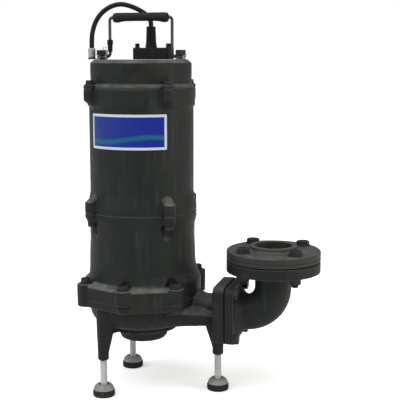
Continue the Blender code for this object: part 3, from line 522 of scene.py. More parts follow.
class Effects:
    """Node groups that several materials share, each built once."""

    def __init__(self) -> None:
        """Builds every group."""
        self.grain = self.cast_grain()
        self.wear = self.wear_and_edge_highlight()
        self.dust = self.settled_dust_and_top_light()
        self.runs = self.vertical_runs()
        self.brushing = self.brushed_lines()

    @staticmethod
    def start(
        name: str, inputs: dict[str, object], outputs: Iterable[str]
    ) -> tuple[bpy.types.NodeTree, Wiring, bpy.types.NodeOutputs, bpy.types.NodeInputs]:
        """Starts a group.

        Args:
            name: Name of the group.
            inputs: Input names with a default number, or "vector".
            outputs: Names of the value outputs.

        Returns:
            The group, its wiring, its input sockets and its output sockets by name.
        """
        tree = bpy.data.node_groups.new(name, "ShaderNodeTree")
        for label, default in inputs.items():
            kind = "NodeSocketVector" if default == "vector" else "NodeSocketFloat"
            socket = tree.interface.new_socket(name=label, in_out="INPUT", socket_type=kind)
            if default != "vector":
                socket.default_value = default
        for label in outputs:
            tree.interface.new_socket(name=label, in_out="OUTPUT", socket_type="NodeSocketFloat")
        wires = Wiring(tree)
        entry, leave = wires.add("NodeGroupInput"), wires.add("NodeGroupOutput")
        return tree, wires, entry.outputs, leave.inputs

    @staticmethod
    def stretched(wires: Wiring, place: object, factors: Point) -> bpy.types.NodeSocket:
        """Place on the surface, squeezed or stretched along each axis."""
        return wires.add("ShaderNodeVectorMath", {0: place, 1: factors}, operation="MULTIPLY").outputs[0]

    def cast_grain(self) -> bpy.types.NodeTree:
        """Sand-cast surface, with small pits.

        Returns:
            The group, which gives the surface's height and a broad mottle.
        """
        tree, wires, taken, given = self.start(
            "cast_grain", {"Vector": "vector", "Scale": 1.0, "Pitting": 0.5}, ("Height", "Mottle")
        )
        fine = wires.cloud(taken["Vector"], wires.calc("MULTIPLY", taken["Scale"], 760.0), 3.0, 0.6)
        lumps = wires.cloud(taken["Vector"], wires.calc("MULTIPLY", taken["Scale"], 210.0), 2.0)
        cells = wires.add("ShaderNodeTexVoronoi", {
            "Vector": taken["Vector"], "Scale": wires.calc("MULTIPLY", taken["Scale"], 330.0),
        })
        pits = wires.span(cells.outputs["Distance"], 0.30, 0.05)
        rare = wires.span(wires.cloud(taken["Vector"], 90.0), 0.50, 0.68)
        pits = wires.calc("MULTIPLY", wires.calc("MULTIPLY", pits, rare), taken["Pitting"])
        height = wires.calc("ADD", wires.calc("MULTIPLY", fine, 0.55), wires.calc("MULTIPLY", lumps, 0.45))
        wires.feed(given["Height"], wires.calc("SUBTRACT", height, pits))
        wires.feed(given["Mottle"], wires.cloud(taken["Vector"], 34.0, 4.0, 0.62))
        return tree

    def wear_and_edge_highlight(self) -> bpy.types.NodeTree:
        """Ragged rubbing along outer edges, which also paints edge highlight, from the mesh's own edge
        values.

        Returns:
            The group, which gives the share of rubbed colour and painted highlight.
        """
        tree, wires, taken, given = self.start(
            "wear_and_edge_highlight", {"Vector": "vector", "Edge": 0.0, "Amount": 1.0}, ("Mask",)
        )
        # Outer edges get lighter: rubbed paint, and painted highlight where light would glint on them.
        ragged = wires.calc("SUBTRACT", wires.cloud(taken["Vector"], 240.0, 4.0, 0.65), 0.5)
        ragged = wires.calc("ADD", taken["Edge"], wires.calc("MULTIPLY", ragged, 0.7))
        wires.feed(given["Mask"], wires.calc("MULTIPLY", wires.span(ragged, 0.24, 0.75), taken["Amount"]))
        return tree

    def settled_dust_and_top_light(self) -> bpy.types.NodeTree:
        """Pale, dusty film on faces that look up, which also paints top light.

        Returns:
            The group, which gives the share of dusty film and painted top light.
        """
        tree, wires, taken, given = self.start(
            "settled_dust_and_top_light", {"Vector": "vector", "Normal": "vector", "Amount": 1.0}, ("Mask",)
        )
        up = wires.add("ShaderNodeSeparateXYZ", {0: taken["Normal"]}).outputs["Z"]
        patchy = wires.span(wires.cloud(taken["Vector"], 55.0, 4.0, 0.6), 0.34, 0.62, 0.40, 1.0)
        # Faces that look up get lighter: a dusty film, and painted top light for how the light falls on them.
        mask = wires.calc("MULTIPLY", wires.span(up, 0.28, 0.80), patchy)
        wires.feed(given["Mask"], wires.calc("MULTIPLY", mask, taken["Amount"]))
        return tree

    def vertical_runs(self) -> bpy.types.NodeTree:
        """Faint upright streaks of water and grease.

        Returns:
            The group, which gives the streaked share.
        """
        tree, wires, taken, given = self.start(
            "vertical_runs", {"Vector": "vector", "Amount": 1.0}, ("Mask",)
        )
        stretched = self.stretched(wires, taken["Vector"], (1.0, 1.0, 0.07))
        streaks = wires.span(wires.cloud(stretched, 130.0, 4.0, 0.6), 0.50, 0.75)
        broken = wires.span(wires.cloud(taken["Vector"], 22.0, 2.0), 0.40, 0.65)
        mask = wires.calc("MULTIPLY", streaks, broken)
        wires.feed(given["Mask"], wires.calc("MULTIPLY", mask, taken["Amount"]))
        return tree

    def brushed_lines(self) -> bpy.types.NodeTree:
        """Fine level turning marks on machined steel, with a few stains.

        Returns:
            The group, which gives the marks and the stained share.
        """
        tree, wires, taken, given = self.start(
            "brushed_lines", {"Vector": "vector", "Scale": 1.0}, ("Lines", "Stain")
        )
        stretched = self.stretched(wires, taken["Vector"], (0.08, 0.08, 1.0))
        scale = wires.calc("MULTIPLY", taken["Scale"], 2600.0)
        wires.feed(given["Lines"], wires.cloud(stretched, scale, 2.0))
        wires.feed(given["Stain"], wires.span(wires.cloud(taken["Vector"], 150.0, 4.0, 0.6), 0.45, 0.75))
        return tree


class Finish:
    """Base of the finishes: one material with a Principled shader."""

    name: str

    def start(self) -> tuple[bpy.types.Material, Wiring, bpy.types.Node, object]:
        """Makes the material.

        Returns:
            The material, its wiring, its shader and the place on the surface.
        """
        material = bpy.data.materials.new(self.name)
        material.use_nodes = True
        wires = Wiring(material.node_tree)
        shader = material.node_tree.nodes["Principled BSDF"]
        place = wires.add("ShaderNodeTexCoord").outputs["Object"]
        return material, wires, shader, place

    @staticmethod
    def bump(wires: Wiring, shader: bpy.types.Node, height: object, depth: float) -> None:
        """Feeds a height into the shader's normal."""
        node = wires.add("ShaderNodeBump", {"Height": height, "Distance": depth, "Strength": 1.0})
        wires.feed(shader.inputs["Normal"], node.outputs["Normal"])


def place_group(wires: Wiring, tree: bpy.types.NodeTree, feeds: dict) -> bpy.types.NodeOutputs:
    """Places a shared group.

    Args:
        wires: Wiring of the material.
        tree: The group.
        feeds: What goes into each named input.

    Returns:
        The group's outputs.
    """
    node = wires.add("ShaderNodeGroup")
    node.node_tree = tree
    for name, value in feeds.items():
        wires.feed(node.inputs[name], value)
    return node.outputs


@dataclass(frozen=True)
class PaintedCasting(Finish):
    """Satin paint on cast iron: rubbed and lit by painted highlight at the edges, dusty and lit by painted
    top light on top, darkened by painted shade and dirt in hollows.
    """

    name: str
    paint: Colour
    shade: Colour
    worn_and_highlight: Colour
    dust: Colour
    tint: Colour
    wear: float = 0.8
    dust_and_top_light_share: float = 0.8
    grain: float = 0.00042
    roughness: float = 0.52
    specular: float = 0.15

    def build(self, effects: Effects) -> bpy.types.Material:
        """Makes the material.

        Args:
            effects: The shared effects.

        Returns:
            The material.
        """
        material, wires, shader, place = self.start()
        grain = place_group(wires, effects.grain, {"Vector": place, "Scale": 1.0, "Pitting": 0.5})
        edge = wires.add("ShaderNodeAttribute", attribute_name="edge").outputs["Fac"]
        hollow = wires.add("ShaderNodeAttribute", attribute_name="hollow").outputs["Fac"]
        normal = wires.add("ShaderNodeNewGeometry").outputs["Normal"]
        wear = place_group(wires, effects.wear, {"Vector": place, "Edge": edge, "Amount": self.wear})["Mask"]
        dust = place_group(
            wires, effects.dust, {"Vector": place, "Normal": normal, "Amount": self.dust_and_top_light_share}
        )["Mask"]
        runs = place_group(wires, effects.runs, {"Vector": place, "Amount": 0.5})["Mask"]
        tinted = wires.span(wires.cloud(place, 17.0, 3.0), 0.52, 0.74, 0.0, 0.55)
        colour = wires.blend(wires.span(grain["Mottle"], 0.30, 0.72), self.shade, self.paint)
        colour = wires.blend(tinted, colour, self.tint)
        colour = wires.blend(wires.calc("MULTIPLY", runs, 0.30), colour, self.dust)
        # Painted top light: faces that look up are lightened, for dusty paint and for light falling on them.
        colour = wires.blend(dust, colour, self.dust)
        # Painted highlight: outer edges are lightened, for rubbed paint and for light glinting on them.
        colour = wires.blend(wear, colour, self.worn_and_highlight)
        # Painted shade: hollows are darkened towards near black, for shade falling in them and for dirt.
        colour = wires.blend(wires.calc("MULTIPLY", hollow, 0.75), colour, SHADE_AND_GRIME)
        wires.feed(shader.inputs["Base Color"], colour)
        rough = wires.span(grain["Mottle"], 0.25, 0.75, self.roughness - 0.07, self.roughness + 0.09)
        rough = wires.calc("ADD", rough, wires.calc("MULTIPLY", dust, 0.16))
        wires.feed(shader.inputs["Roughness"], rough)
        shader.inputs["Specular IOR Level"].default_value = self.specular
        self.bump(wires, shader, grain["Height"], self.grain)
        return material


@dataclass(frozen=True)
class Steel(Finish):
    """Bare or darkened steel with turning marks and stains."""

    name: str
    metal: Colour
    stain: Colour
    roughness: float
    metallic: float = 1.0
    staining: float = 0.5
    depth: float = 0.00006
    specular: float = 0.5

    def build(self, effects: Effects) -> bpy.types.Material:
        """Makes the material.

        Args:
            effects: The shared effects.

        Returns:
            The material.
        """
        material, wires, shader, place = self.start()
        marks = place_group(wires, effects.brushing, {"Vector": place, "Scale": 1.0})
        edge = wires.add("ShaderNodeAttribute", attribute_name="edge").outputs["Fac"]
        wear = place_group(wires, effects.wear, {"Vector": place, "Edge": edge, "Amount": 0.35})["Mask"]
        stained = wires.calc("MULTIPLY", marks["Stain"], self.staining)
        colour = wires.blend(stained, self.metal, self.stain)
        # Painted highlight: outer edges are lightened, for rubbed metal and for light glinting on them.
        bright = tuple(min(0.9, value * 1.8 + 0.04) for value in self.metal)
        wires.feed(shader.inputs["Base Color"], wires.blend(wear, colour, bright))
        shader.inputs["Metallic"].default_value = self.metallic
        shader.inputs["Specular IOR Level"].default_value = self.specular
        rough = wires.span(marks["Lines"], 0.3, 0.7, self.roughness - 0.06, self.roughness + 0.08)
        rough = wires.calc("ADD", rough, wires.calc("MULTIPLY", stained, 0.2))
        wires.feed(shader.inputs["Roughness"], rough)
        self.bump(wires, shader, marks["Lines"], self.depth)
        return material


@dataclass(frozen=True)
class Moulding(Finish):
    """Rubber, plastic or pressed fibre with a fine moulded texture."""

    name: str
    base: Colour
    bloom_and_top_light: Colour
    roughness: float
    texture: float = 1400.0
    depth: float = 0.00012
    specks: float = 0.0
    specular: float = 0.25

    def build(self, effects: Effects) -> bpy.types.Material:
        """Makes the material.

        Args:
            effects: The shared effects.

        Returns:
            The material.
        """
        material, wires, shader, place = self.start()
        normal = wires.add("ShaderNodeNewGeometry").outputs["Normal"]
        dust = place_group(wires, effects.dust, {"Vector": place, "Normal": normal, "Amount": 0.35})["Mask"]
        fine = wires.cloud(place, self.texture, 3.0, 0.6)
        broad = wires.span(wires.cloud(place, 120.0, 4.0, 0.6), 0.35, 0.75)
        colour = wires.blend(wires.calc("MULTIPLY", broad, 0.35), self.base, self.bloom_and_top_light)
        # Painted top light: faces that look up are lightened towards the pale colour, for a dusty film and
        # for light falling on them.
        colour = wires.blend(dust, colour, self.bloom_and_top_light)
        speck = wires.span(wires.cloud(place, 620.0, 2.0), 0.60, 0.68, 0.0, self.specks)
        colour = wires.blend(speck, colour, self.bloom_and_top_light)
        wires.feed(shader.inputs["Base Color"], colour)
        rough = wires.span(broad, 0.0, 1.0, self.roughness - 0.05, self.roughness + 0.08)
        wires.feed(shader.inputs["Roughness"], rough)
        shader.inputs["Specular IOR Level"].default_value = self.specular
        self.bump(wires, shader, fine, self.depth)
        return material


@dataclass(frozen=True)
class PrintedFilm(Finish):
    """Blank name film: a pale border around a blue field with one wavy teal band."""

    name: str
    bottom: float
    top: float
    half_angle: float
    radius: float
    border: float = 0.0042
    border_blur: float = 0.0002
    wave_pitch: float = 38.0
    wave_height: float = 0.0042
    wave_middle: float = -0.0120
    wave_halves: Pair = (0.0052, 0.0020)
    scuffed: Colour = (0.30, 0.31, 0.33)
    white: Colour = (0.46, 0.50, 0.56)
    deep: Colour = (0.014, 0.034, 0.19)
    light: Colour = (0.005, 0.012, 0.20)
    teal: Colour = (0.008, 0.105, 0.150)
    specular: float = 0.12

    def build(self, effects: Effects) -> bpy.types.Material:
        """Makes the material.

        Args:
            effects: The shared effects, of which a film needs none.

        Returns:
            The material.
        """
        material, wires, shader, place = self.start()
        axes = wires.add("ShaderNodeSeparateXYZ", {0: place})
        across = wires.calc("SUBTRACT", axes.outputs["X"], MOTOR_X)
        turn = wires.calc("ARCTAN2", across, wires.calc("MULTIPLY", axes.outputs["Y"], -1.0))
        along = wires.calc("MULTIPLY", turn, self.radius)
        half_length = math.radians(self.half_angle) * self.radius
        middle = (self.bottom + self.top) / 2
        up = wires.calc("SUBTRACT", axes.outputs["Z"], middle)
        half_height = (self.top - self.bottom) / 2
        inside = 1.0
        for way, half in ((along, half_length), (up, half_height)):
            edge = half - self.border
            within = wires.span(
                wires.calc("ABSOLUTE", way), edge + self.border_blur, edge - self.border_blur
            )
            inside = wires.calc("MULTIPLY", inside, within)
        sweep = wires.span(along, -half_length, half_length)
        field_colour = wires.blend(sweep, self.deep, self.light)
        wave = wires.calc("SINE", wires.calc("MULTIPLY", along, self.wave_pitch))
        crest = wires.calc("ADD", wires.calc("MULTIPLY", wave, self.wave_height), self.wave_middle)
        height = wires.calc("ABSOLUTE", wires.calc("SUBTRACT", up, crest))
        band = wires.span(height, *self.wave_halves)
        field_colour = wires.blend(wires.calc("MULTIPLY", band, 0.8), field_colour, self.teal)
        scuffs = wires.span(wires.cloud(place, 420.0, 4.0, 0.7), 0.60, 0.80, 0.0, 0.22)
        colour = wires.blend(inside, self.white, field_colour)
        wires.feed(shader.inputs["Base Color"], wires.blend(scuffs, colour, self.scuffed))
        rough = wires.span(wires.cloud(place, 90.0, 3.0), 0.3, 0.7, 0.24, 0.38)
        wires.feed(shader.inputs["Roughness"], rough)
        shader.inputs["Specular IOR Level"].default_value = self.specular
        self.bump(wires, shader, wires.cloud(place, 500.0, 2.0), 0.00003)
        return material


def linked(name: str, data: bpy.types.ID) -> bpy.types.Object:
    """New object with its data, linked to the scene.

    Args:
        name: Name of the object.
        data: Its mesh, curve, light or camera.

    Returns:
        The object.
    """
    item = bpy.data.objects.new(name, data)
    bpy.context.scene.collection.objects.link(item)
    return item


class Bench:
    """Makes pieces, gives them their finish and puts them on the pump's bodies."""

    def __init__(self, materials: dict[Slot | Look, bpy.types.Material]) -> None:
        """Keeps the materials by slot and by look."""
        self.materials = materials

    @staticmethod
    def mesh(name: str, shape: Shape) -> bpy.types.Object:
        """Welded object with outward faces.

        Args:
            name: Name of the object.
            shape: Its shape.

        Returns:
            The object, not yet dressed.
        """
        data = bpy.data.meshes.new(name)
        data.from_pydata(shape.points, [], shape.faces)
        work = bmesh.new()
        work.from_mesh(data)
        bmesh.ops.remove_doubles(work, verts=work.verts, dist=TINY * 10)
        bmesh.ops.recalc_face_normals(work, faces=work.faces)
        work.to_mesh(data)
        work.free()
        return linked(name, data)

    @staticmethod
    def applied(item: bpy.types.Object) -> None:
        """Turns an object's modifiers into its mesh.

        Args:
            item: The object.
        """
        bpy.context.view_layer.update()
        evaluated = item.evaluated_get(bpy.context.evaluated_depsgraph_get())
        made = bpy.data.meshes.new_from_object(evaluated)
        item.modifiers.clear()
        item.data = made

    def dress(
        self, item: bpy.types.Object, slot: Slot, body: Body = Body.PUMP, replaces: Sequence[str] = (),
        limit: float = SMOOTH_LIMIT, look: Look | None = None,
    ) -> bpy.types.Object:
        """Gives a piece its finish, its body and the nodes that it stands for.

        Args:
            item: The piece.
            slot: Slot of the record whose finish it takes.
            body: Body that it rides on.
            replaces: CAD nodes that it stands for.
            limit: Angle over which an edge stays sharp.
            look: Finish in place of the slot's usual one.

        Returns:
            The piece.
        """
        mark_edges(item.data)
        item.data.materials.clear()
        item.data.materials.append(self.materials[look or slot])
        item.data.shade_smooth()
        item.data.set_sharp_from_angle(angle=limit)
        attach(item, body.value)
        if replaces:
            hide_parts(*replaces)
        LOG.info("%s: %d faces", item.name, len(item.data.polygons))
        return item

    def piece(
        self, name: str, shape: Shape, slot: Slot, body: Body = Body.PUMP, replaces: Sequence[str] = (),
        look: Look | None = None,
    ) -> bpy.types.Object:
        """Makes and dresses a piece from its shape."""
        return self.dress(self.mesh(name, shape), slot, body, replaces, look=look)

    def casting(
        self, name: str, node: str, mould: "Mould", slot: Slot = Slot.PAINTED_IRON,
        extra: Shape | None = None, look: Look | None = None,
    ) -> bpy.types.Object:
        """Makes one skin around a CAD solid and further closed shapes, and dresses it.

        Args:
            name: Name of the piece.
            node: CAD node whose solid it follows and stands for.
            mould: How fine and how soft the skin is.
            slot: Slot of the record whose finish it takes.
            extra: Finer shapes that stand in or on the solid.
            look: Finish in place of the slot's usual one.

        Returns:
            The piece.
        """
        item = self.mesh(name, Shape.of_node(node).add(extra or Shape()))
        skin = item.modifiers.new("skin", "REMESH")
        skin.mode = "VOXEL"
        skin.voxel_size = mould.voxel
        soften = item.modifiers.new("soften", "SMOOTH")
        soften.factor = 0.5
        soften.iterations = mould.softening
        self.applied(item)
        mould.finish(item.data)
        if mould.keep < 1:
            item.modifiers.new("thin_out", "DECIMATE").ratio = mould.keep
            self.applied(item)
        return self.dress(item, slot, replaces=(node,), limit=math.pi, look=look)


@dataclass(frozen=True)
class Mould:
    """How a casting's skin is made.

    voxel is the side of its squares, softening the number of smoothing rounds and waves how deep the
    sand left its waves. Facets are rounded about axis_x, above the height low and within reach. keep is
    the share of faces kept.
    """

    voxel: float
    softening: int
    waves: float
    axis_x: float | None = None
    low: float = 0.0
    reach: float = 0.125
    keep: float = 1.0

    def finish(self, data: bpy.types.Mesh) -> None:
        """Rounds the CAD's facets about the axis and adds the waves of a sand mould.

        Args:
            data: The mesh.
        """
        if self.axis_x is not None:
            self.round_facets(data)
        if self.waves:
            make_wavy(data, self.waves)

    def round_facets(self, data: bpy.types.Mesh) -> None:
        """Moves points outwards so that a turned shape of many flat facets is round.

        Args:
            data: The mesh.
        """
        places = np.zeros(len(data.vertices) * 3)
        data.vertices.foreach_get("co", places)
        places = places.reshape(-1, 3)
        across, side = places[:, 0] - self.axis_x, places[:, 1]
        facet = 2 * math.pi / CAD_FACETS
        turn = np.mod(np.arctan2(side, across), facet) - facet / 2
        factor = np.cos(turn) / math.cos(facet / 2)
        chosen = (places[:, 2] >= self.low) & (np.hypot(across, side) < self.reach)
        factor = np.where(chosen, factor, 1.0)
        places[:, 0] = self.axis_x + across * factor
        places[:, 1] = side * factor
        data.vertices.foreach_set("co", places.ravel())
        data.update()


def mark_edges(data: bpy.types.Mesh) -> None:
    """Stores how much each point stands out or lies in a hollow, for the finishes.

    Args:
        data: The mesh, which gets the attributes edge and hollow.
    """
    least_bend, gain, smoothing = 0.04, 5.4, 2
    count = len(data.vertices)
    places = np.zeros(count * 3)
    data.vertices.foreach_get("co", places)
    normals = np.zeros(count * 3)
    data.vertices.foreach_get("normal", normals)
    places, normals = places.reshape(-1, 3), normals.reshape(-1, 3)
    ends = np.zeros(len(data.edges) * 2, dtype=np.int64)
    data.edges.foreach_get("vertices", ends)
    first, second = ends.reshape(-1, 2).T
    along = places[second] - places[first]
    lengths = np.maximum(np.linalg.norm(along, axis=1), 1e-9)
    along /= lengths[:, None]
    bend = np.zeros(count)
    shares = np.zeros(count)
    for start, way in ((first, along), (second, -along)):
        np.add.at(bend, start, -(normals[start] * way).sum(axis=1))
        np.add.at(shares, start, 1)
    bend /= np.maximum(shares, 1)
    for _ in range(smoothing):
        near = np.zeros(count)
        np.add.at(near, first, bend[second])
        np.add.at(near, second, bend[first])
        bend = 0.5 * bend + 0.5 * near / np.maximum(shares, 1)
    for name, value in (("edge", bend), ("hollow", -bend)):
        layer = data.attributes.new(name, "FLOAT", "POINT")
        marks = np.clip((value - least_bend) * gain, 0, 1)
        layer.data.foreach_set("value", marks.astype(np.float32))


def add_shade_and_grime(data: bpy.types.Mesh, shares: dict[int, float]) -> None:
    """Darkens chosen points by painted shade and dirt, as if they lay in a hollow.

    Args:
        data: The mesh, already marked.
        shares: How hollow each point counts as at least, by its number.
    """
    hollows = data.attributes["hollow"].data
    for number, share in shares.items():
        hollows[number].value = max(hollows[number].value, share)


def make_wavy(data: bpy.types.Mesh, depth: float) -> None:
    """Moves the points of a casting a little, as a sand mould leaves them.

    Args:
        data: The mesh.
        depth: Greatest movement along the normal.
    """
    broad_scale, small_scale = 38, 140
    moves = []
    for point in data.vertices:
        broad = noise.noise(point.co * broad_scale)
        small = noise.noise(point.co * small_scale)
        moves.append(point.co + point.normal * depth * (0.7 * broad + 0.3 * small))
    for point, place in zip(data.vertices, moves):
        point.co = place


@dataclass
class Studio:
    """Camera at the photograph's angle, pale floor and soft lights."""

    eye: Point = (0.3692, -1.4505, 0.5565)
    tilt: float = 81.22
    turn: float = 14.33
    lens: float = 81.85
    sensor: float = 36.0
    clip: Pair = (0.05, 100.0)
    floor_reach: float = 30.0
    floor_grey: float = 0.93
    floor_glow: float = 0.34
    lamp_size: float = 1.2
    sun_power: float = 2.7
    sun_width: float = 70.0
    sun_tilt: Pair = (24.0, -10.0)
    sky_power: float = 0.34

    def camera(self) -> None:
        """Makes the camera and sets it as the scene's own."""
        data = bpy.data.cameras.new("camera")
        data.lens = self.lens
        data.sensor_width = self.sensor
        data.clip_start, data.clip_end = self.clip
        item = linked("camera", data)
        item.location = self.eye
        item.rotation_euler = (math.radians(self.tilt), 0, math.radians(self.turn))
        bpy.context.scene.camera = item

    def floor(self) -> None:
        """Makes a plain pale floor."""
        reach = self.floor_reach
        data = bpy.data.meshes.new("studio_floor")
        corners = [(-reach, -reach, 0), (reach, -reach, 0), (reach, reach, 0), (-reach, reach, 0)]
        data.from_pydata(corners, [], [(0, 1, 2, 3)])
        item = linked("studio_floor", data)
        material = bpy.data.materials.new("pale_floor")
        material.use_nodes = True
        shader = material.node_tree.nodes["Principled BSDF"]
        shader.inputs["Base Color"].default_value = (self.floor_grey, self.floor_grey, self.floor_grey, 1)
        shader.inputs["Roughness"].default_value = 0.9
        shader.inputs["Specular IOR Level"].default_value = 0.0
        shader.inputs["Emission Color"].default_value = (*WHITE, 1)
        wires = Wiring(material.node_tree)
        seen = wires.add("ShaderNodeLightPath").outputs["Is Camera Ray"]
        wires.feed(shader.inputs["Emission Strength"], wires.span(seen, 0.0, 1.0, 0.0, self.floor_glow))
        data.materials.append(material)

    def lamp(self, name: str, place: Point, aim: Point, power: float, colour: Colour) -> None:
        """Makes one square soft light.

        Args:
            name: Its name.
            place: Where it stands.
            aim: Where it points.
            power: Its power in watts.
            colour: Its colour.
        """
        data = bpy.data.lights.new(name, "AREA")
        data.size = self.lamp_size
        data.energy = power
        data.color = colour
        item = linked(name, data)
        item.location = place
        item.rotation_euler = (Vector(aim) - Vector(place)).to_track_quat("-Z", "Y").to_euler()

    def sky(self) -> None:
        """Makes the broad even light from above and the white surroundings."""
        data = bpy.data.lights.new("ceiling_light", "SUN")
        data.energy = self.sun_power
        data.angle = math.radians(self.sun_width)
        tilt, roll = self.sun_tilt
        linked("ceiling_light", data).rotation_euler = (math.radians(tilt), math.radians(roll), 0)
        world = bpy.data.worlds.new("studio_world")
        world.use_nodes = True
        wires = Wiring(world.node_tree)
        shade = world.node_tree.nodes["Background"]
        seen = wires.add("ShaderNodeLightPath").outputs["Is Camera Ray"]
        wires.feed(shade.inputs["Strength"], wires.span(seen, 0.0, 1.0, self.sky_power, 1.0))
        shade.inputs["Color"].default_value = (*WHITE, 1)
        bpy.context.scene.world = world

    def build(self) -> None:
        """Makes the whole studio."""
        self.floor()
        self.sky()
        self.lamp("left_light", place=(-2.2, -1.7, 1.2), aim=(-0.1, 0, 0.3), power=14, colour=WHITE)
        self.lamp(
            "right_light", place=(2.4, -0.3, 0.9), aim=(0, 0, 0.3), power=26, colour=(1.0, 0.96, 0.87)
        )
        bpy.context.scene.view_settings.view_transform = "Standard"


@dataclass
class PowerLead:
    """Lead from the gland's sleeve, over the handle, to the cup on its clip."""

    radius: float = 0.0040
    start_height: float = 0.6113
    end_height: float = 0.5723
    step: float = 0.005
    knots: tuple[Point, ...] = (
        (0.0090, 0.0280, 0.6150), (0.0080, 0.0281, 0.6210), (0.0020, 0.0283, 0.6295),
        (-0.0114, 0.0270, 0.6385), (-0.0296, 0.0240, 0.6459), (-0.0430, 0.0210, 0.6478),
        (-0.0558, 0.0180, 0.6449), (-0.0670, 0.0145, 0.6383), (-0.0755, 0.0112, 0.6295),
        (-0.0812, 0.0078, 0.6193), (-0.0845, 0.0048, 0.6085), (-0.0862, 0.0020, 0.5960),
        (-0.0863, 0.0005, 0.5840), (-0.0863, 0.0000, 0.5770),
    )

    def route(self) -> list[Vector]:
        """Smooth curve through the knots, with upright ends.

        Returns:
            Its points, a step apart.
        """
        knots = [Vector(point) for point in self.knots]
        ends = [knots[0] * 2 - knots[1], *knots, knots[-1] * 2 - knots[-2]]
        fine, ticks = [], 10
        for before, start, end, after in zip(ends, ends[1:], ends[2:], ends[3:]):
            for tick in range(ticks):
                t = tick / ticks
                fine.append((
                    start * 2 + (end - before) * t + (before * 2 - start * 5 + end * 4 - after) * t ** 2
                    + (start * 3 - before - end * 3 + after) * t ** 3
                ) / 2)
        fine.append(knots[-1])
        spaced = [fine[0]]
        for point in fine:
            if (point - spaced[-1]).length >= self.step:
                spaced.append(point)
        spaced[-1] = fine[-1]
        first = Vector((*spaced[0][:2], self.start_height))
        last = Vector((*spaced[-1][:2], self.end_height))
        return [point + Vector((MOTOR_X, 0, 0)) for point in (first, *spaced, last)]

    def build(self, bench: Bench) -> None:
        """Args:
            bench: The bench that keeps its material.
        """
        data = bpy.data.curves.new("power_cable", "CURVE")
        data.dimensions = "3D"
        data.bevel_depth = self.radius
        data.bevel_resolution = 8
        data.use_fill_caps = True
        route = self.route()
        spline = data.splines.new("POLY")
        spline.points.add(len(route) - 1)
        for corner, point in zip(spline.points, route):
            corner.co = (*point, 1)
        spline.use_smooth = True
        item = linked("power_cable", data)
        data.materials.append(bench.materials[Slot.LEAD_SHEATH])
        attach(item, Body.PUMP.value)
        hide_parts("power_lead")


def spot_at(across: float, side: float, height: float) -> Matrix:
    """Place measured from the motor's axis."""
    return Matrix.Translation((MOTOR_X + across, side, height))


M6 = HexSize(0.003, 0.0100, 0.0054, 0.001)
M8 = HexSize(0.004, 0.0130, 0.0055, 0.00125)
M10 = HexSize(0.005, 0.0160, 0.0068, 0.0015)
M10_TALL = HexSize(0.005, 0.0160, 0.0074, 0.0015)
M10_FLANGED = HexSize(0.005, 0.0168, 0.0066, 0.0015)
M12 = HexSize(0.006, 0.0190, 0.0062, 0.00175)


def bolt(size: HexSize, length: float, washer: float, thickness: float, turn: float = 0.0) -> Shape:
    """Hexagon bolt that points down, with the underside of its washer at zero height.

    Args:
        size: Size of the bolt.
        length: Length of the shank below the washer.
        washer: Radius of the washer.
        thickness: Height of the washer.
        turn: Turn of the head in degrees.

    Returns:
        The bolt with its washer.
    """
    head = Matrix.Translation((0, 0, thickness)) @ Matrix.Rotation(math.radians(turn), 4, "Z")
    shape = size.washer(washer, thickness)
    shape.add(size.body(), head)
    return shape.add(threaded(size.shank - 0.00005, -length, thickness * 0.5, size.pitch))


@dataclass(frozen=True)
class BoltRow:
    """Equal bolts in a circle around the motor's axis.

    pitch is the circle's radius, washer and thickness are the washer's radius and height, and roll
    turns each bolt about +X, so that half a turn makes it point up.
    """

    name: str
    size: HexSize
    angles: tuple[float, ...]
    pitch: float
    height: float
    washer: float
    thickness: float
    roll: float = 0.0


@dataclass
class Housings:
    """Oil chamber, motor barrel and top cover, with the bolts that hold them together."""

    rows: tuple[BoltRow, ...] = (
        BoltRow("ring_bolt", M10, (43, 136, 224, 317, 90, 270), 0.1055, 0.1903, 0.0098, 0.0018),
        BoltRow("cover_bolt", M8, CORNER_ANGLES, 0.0930, 0.5165, 0.0080, 0.0016),
        BoltRow("motor_bolt", M8, CORNER_ANGLES, 0.0930, 0.2918, 0.0080, 0.0016, math.pi),
    )
    bolt_shank: float = 0.004
    turn_share: float = 1.7
    mould: Mould = Mould(voxel=0.0013, softening=2, waves=0.00018, axis_x=MOTOR_X, keep=0.45)

    def castings(self, bench: Bench) -> None:
        """Makes the three painted housings.

        Args:
            bench: The bench that makes its pieces.
        """
        bench.casting("oil_chamber_casting", "oil_chamber", self.mould)
        bench.casting("motor_barrel", "motor_housing", self.mould)
        bench.casting("top_cover_casting", "top_cover", self.mould)

    def bolts(self, bench: Bench) -> None:
        """Makes the black bolts on the bottom ring, the cover and under the motor's lugs.

        Args:
            bench: The bench that makes its pieces.
        """
        for row in self.rows:
            roll = Matrix.Rotation(row.roll, 4, "X")
            for number, angle in enumerate(row.angles, 1):
                turn = angle * self.turn_share
                shape = bolt(row.size, self.bolt_shank, row.washer, row.thickness, turn)
                spot = spot_at(*polar(angle, row.pitch), row.height) @ roll
                bench.piece(f"{row.name}_{number}", shape.placed(spot), Slot.BOLT_STEEL)

    def build(self, bench: Bench) -> None:
        """Makes the housings and their bolts."""
        self.castings(bench)
        self.bolts(bench)


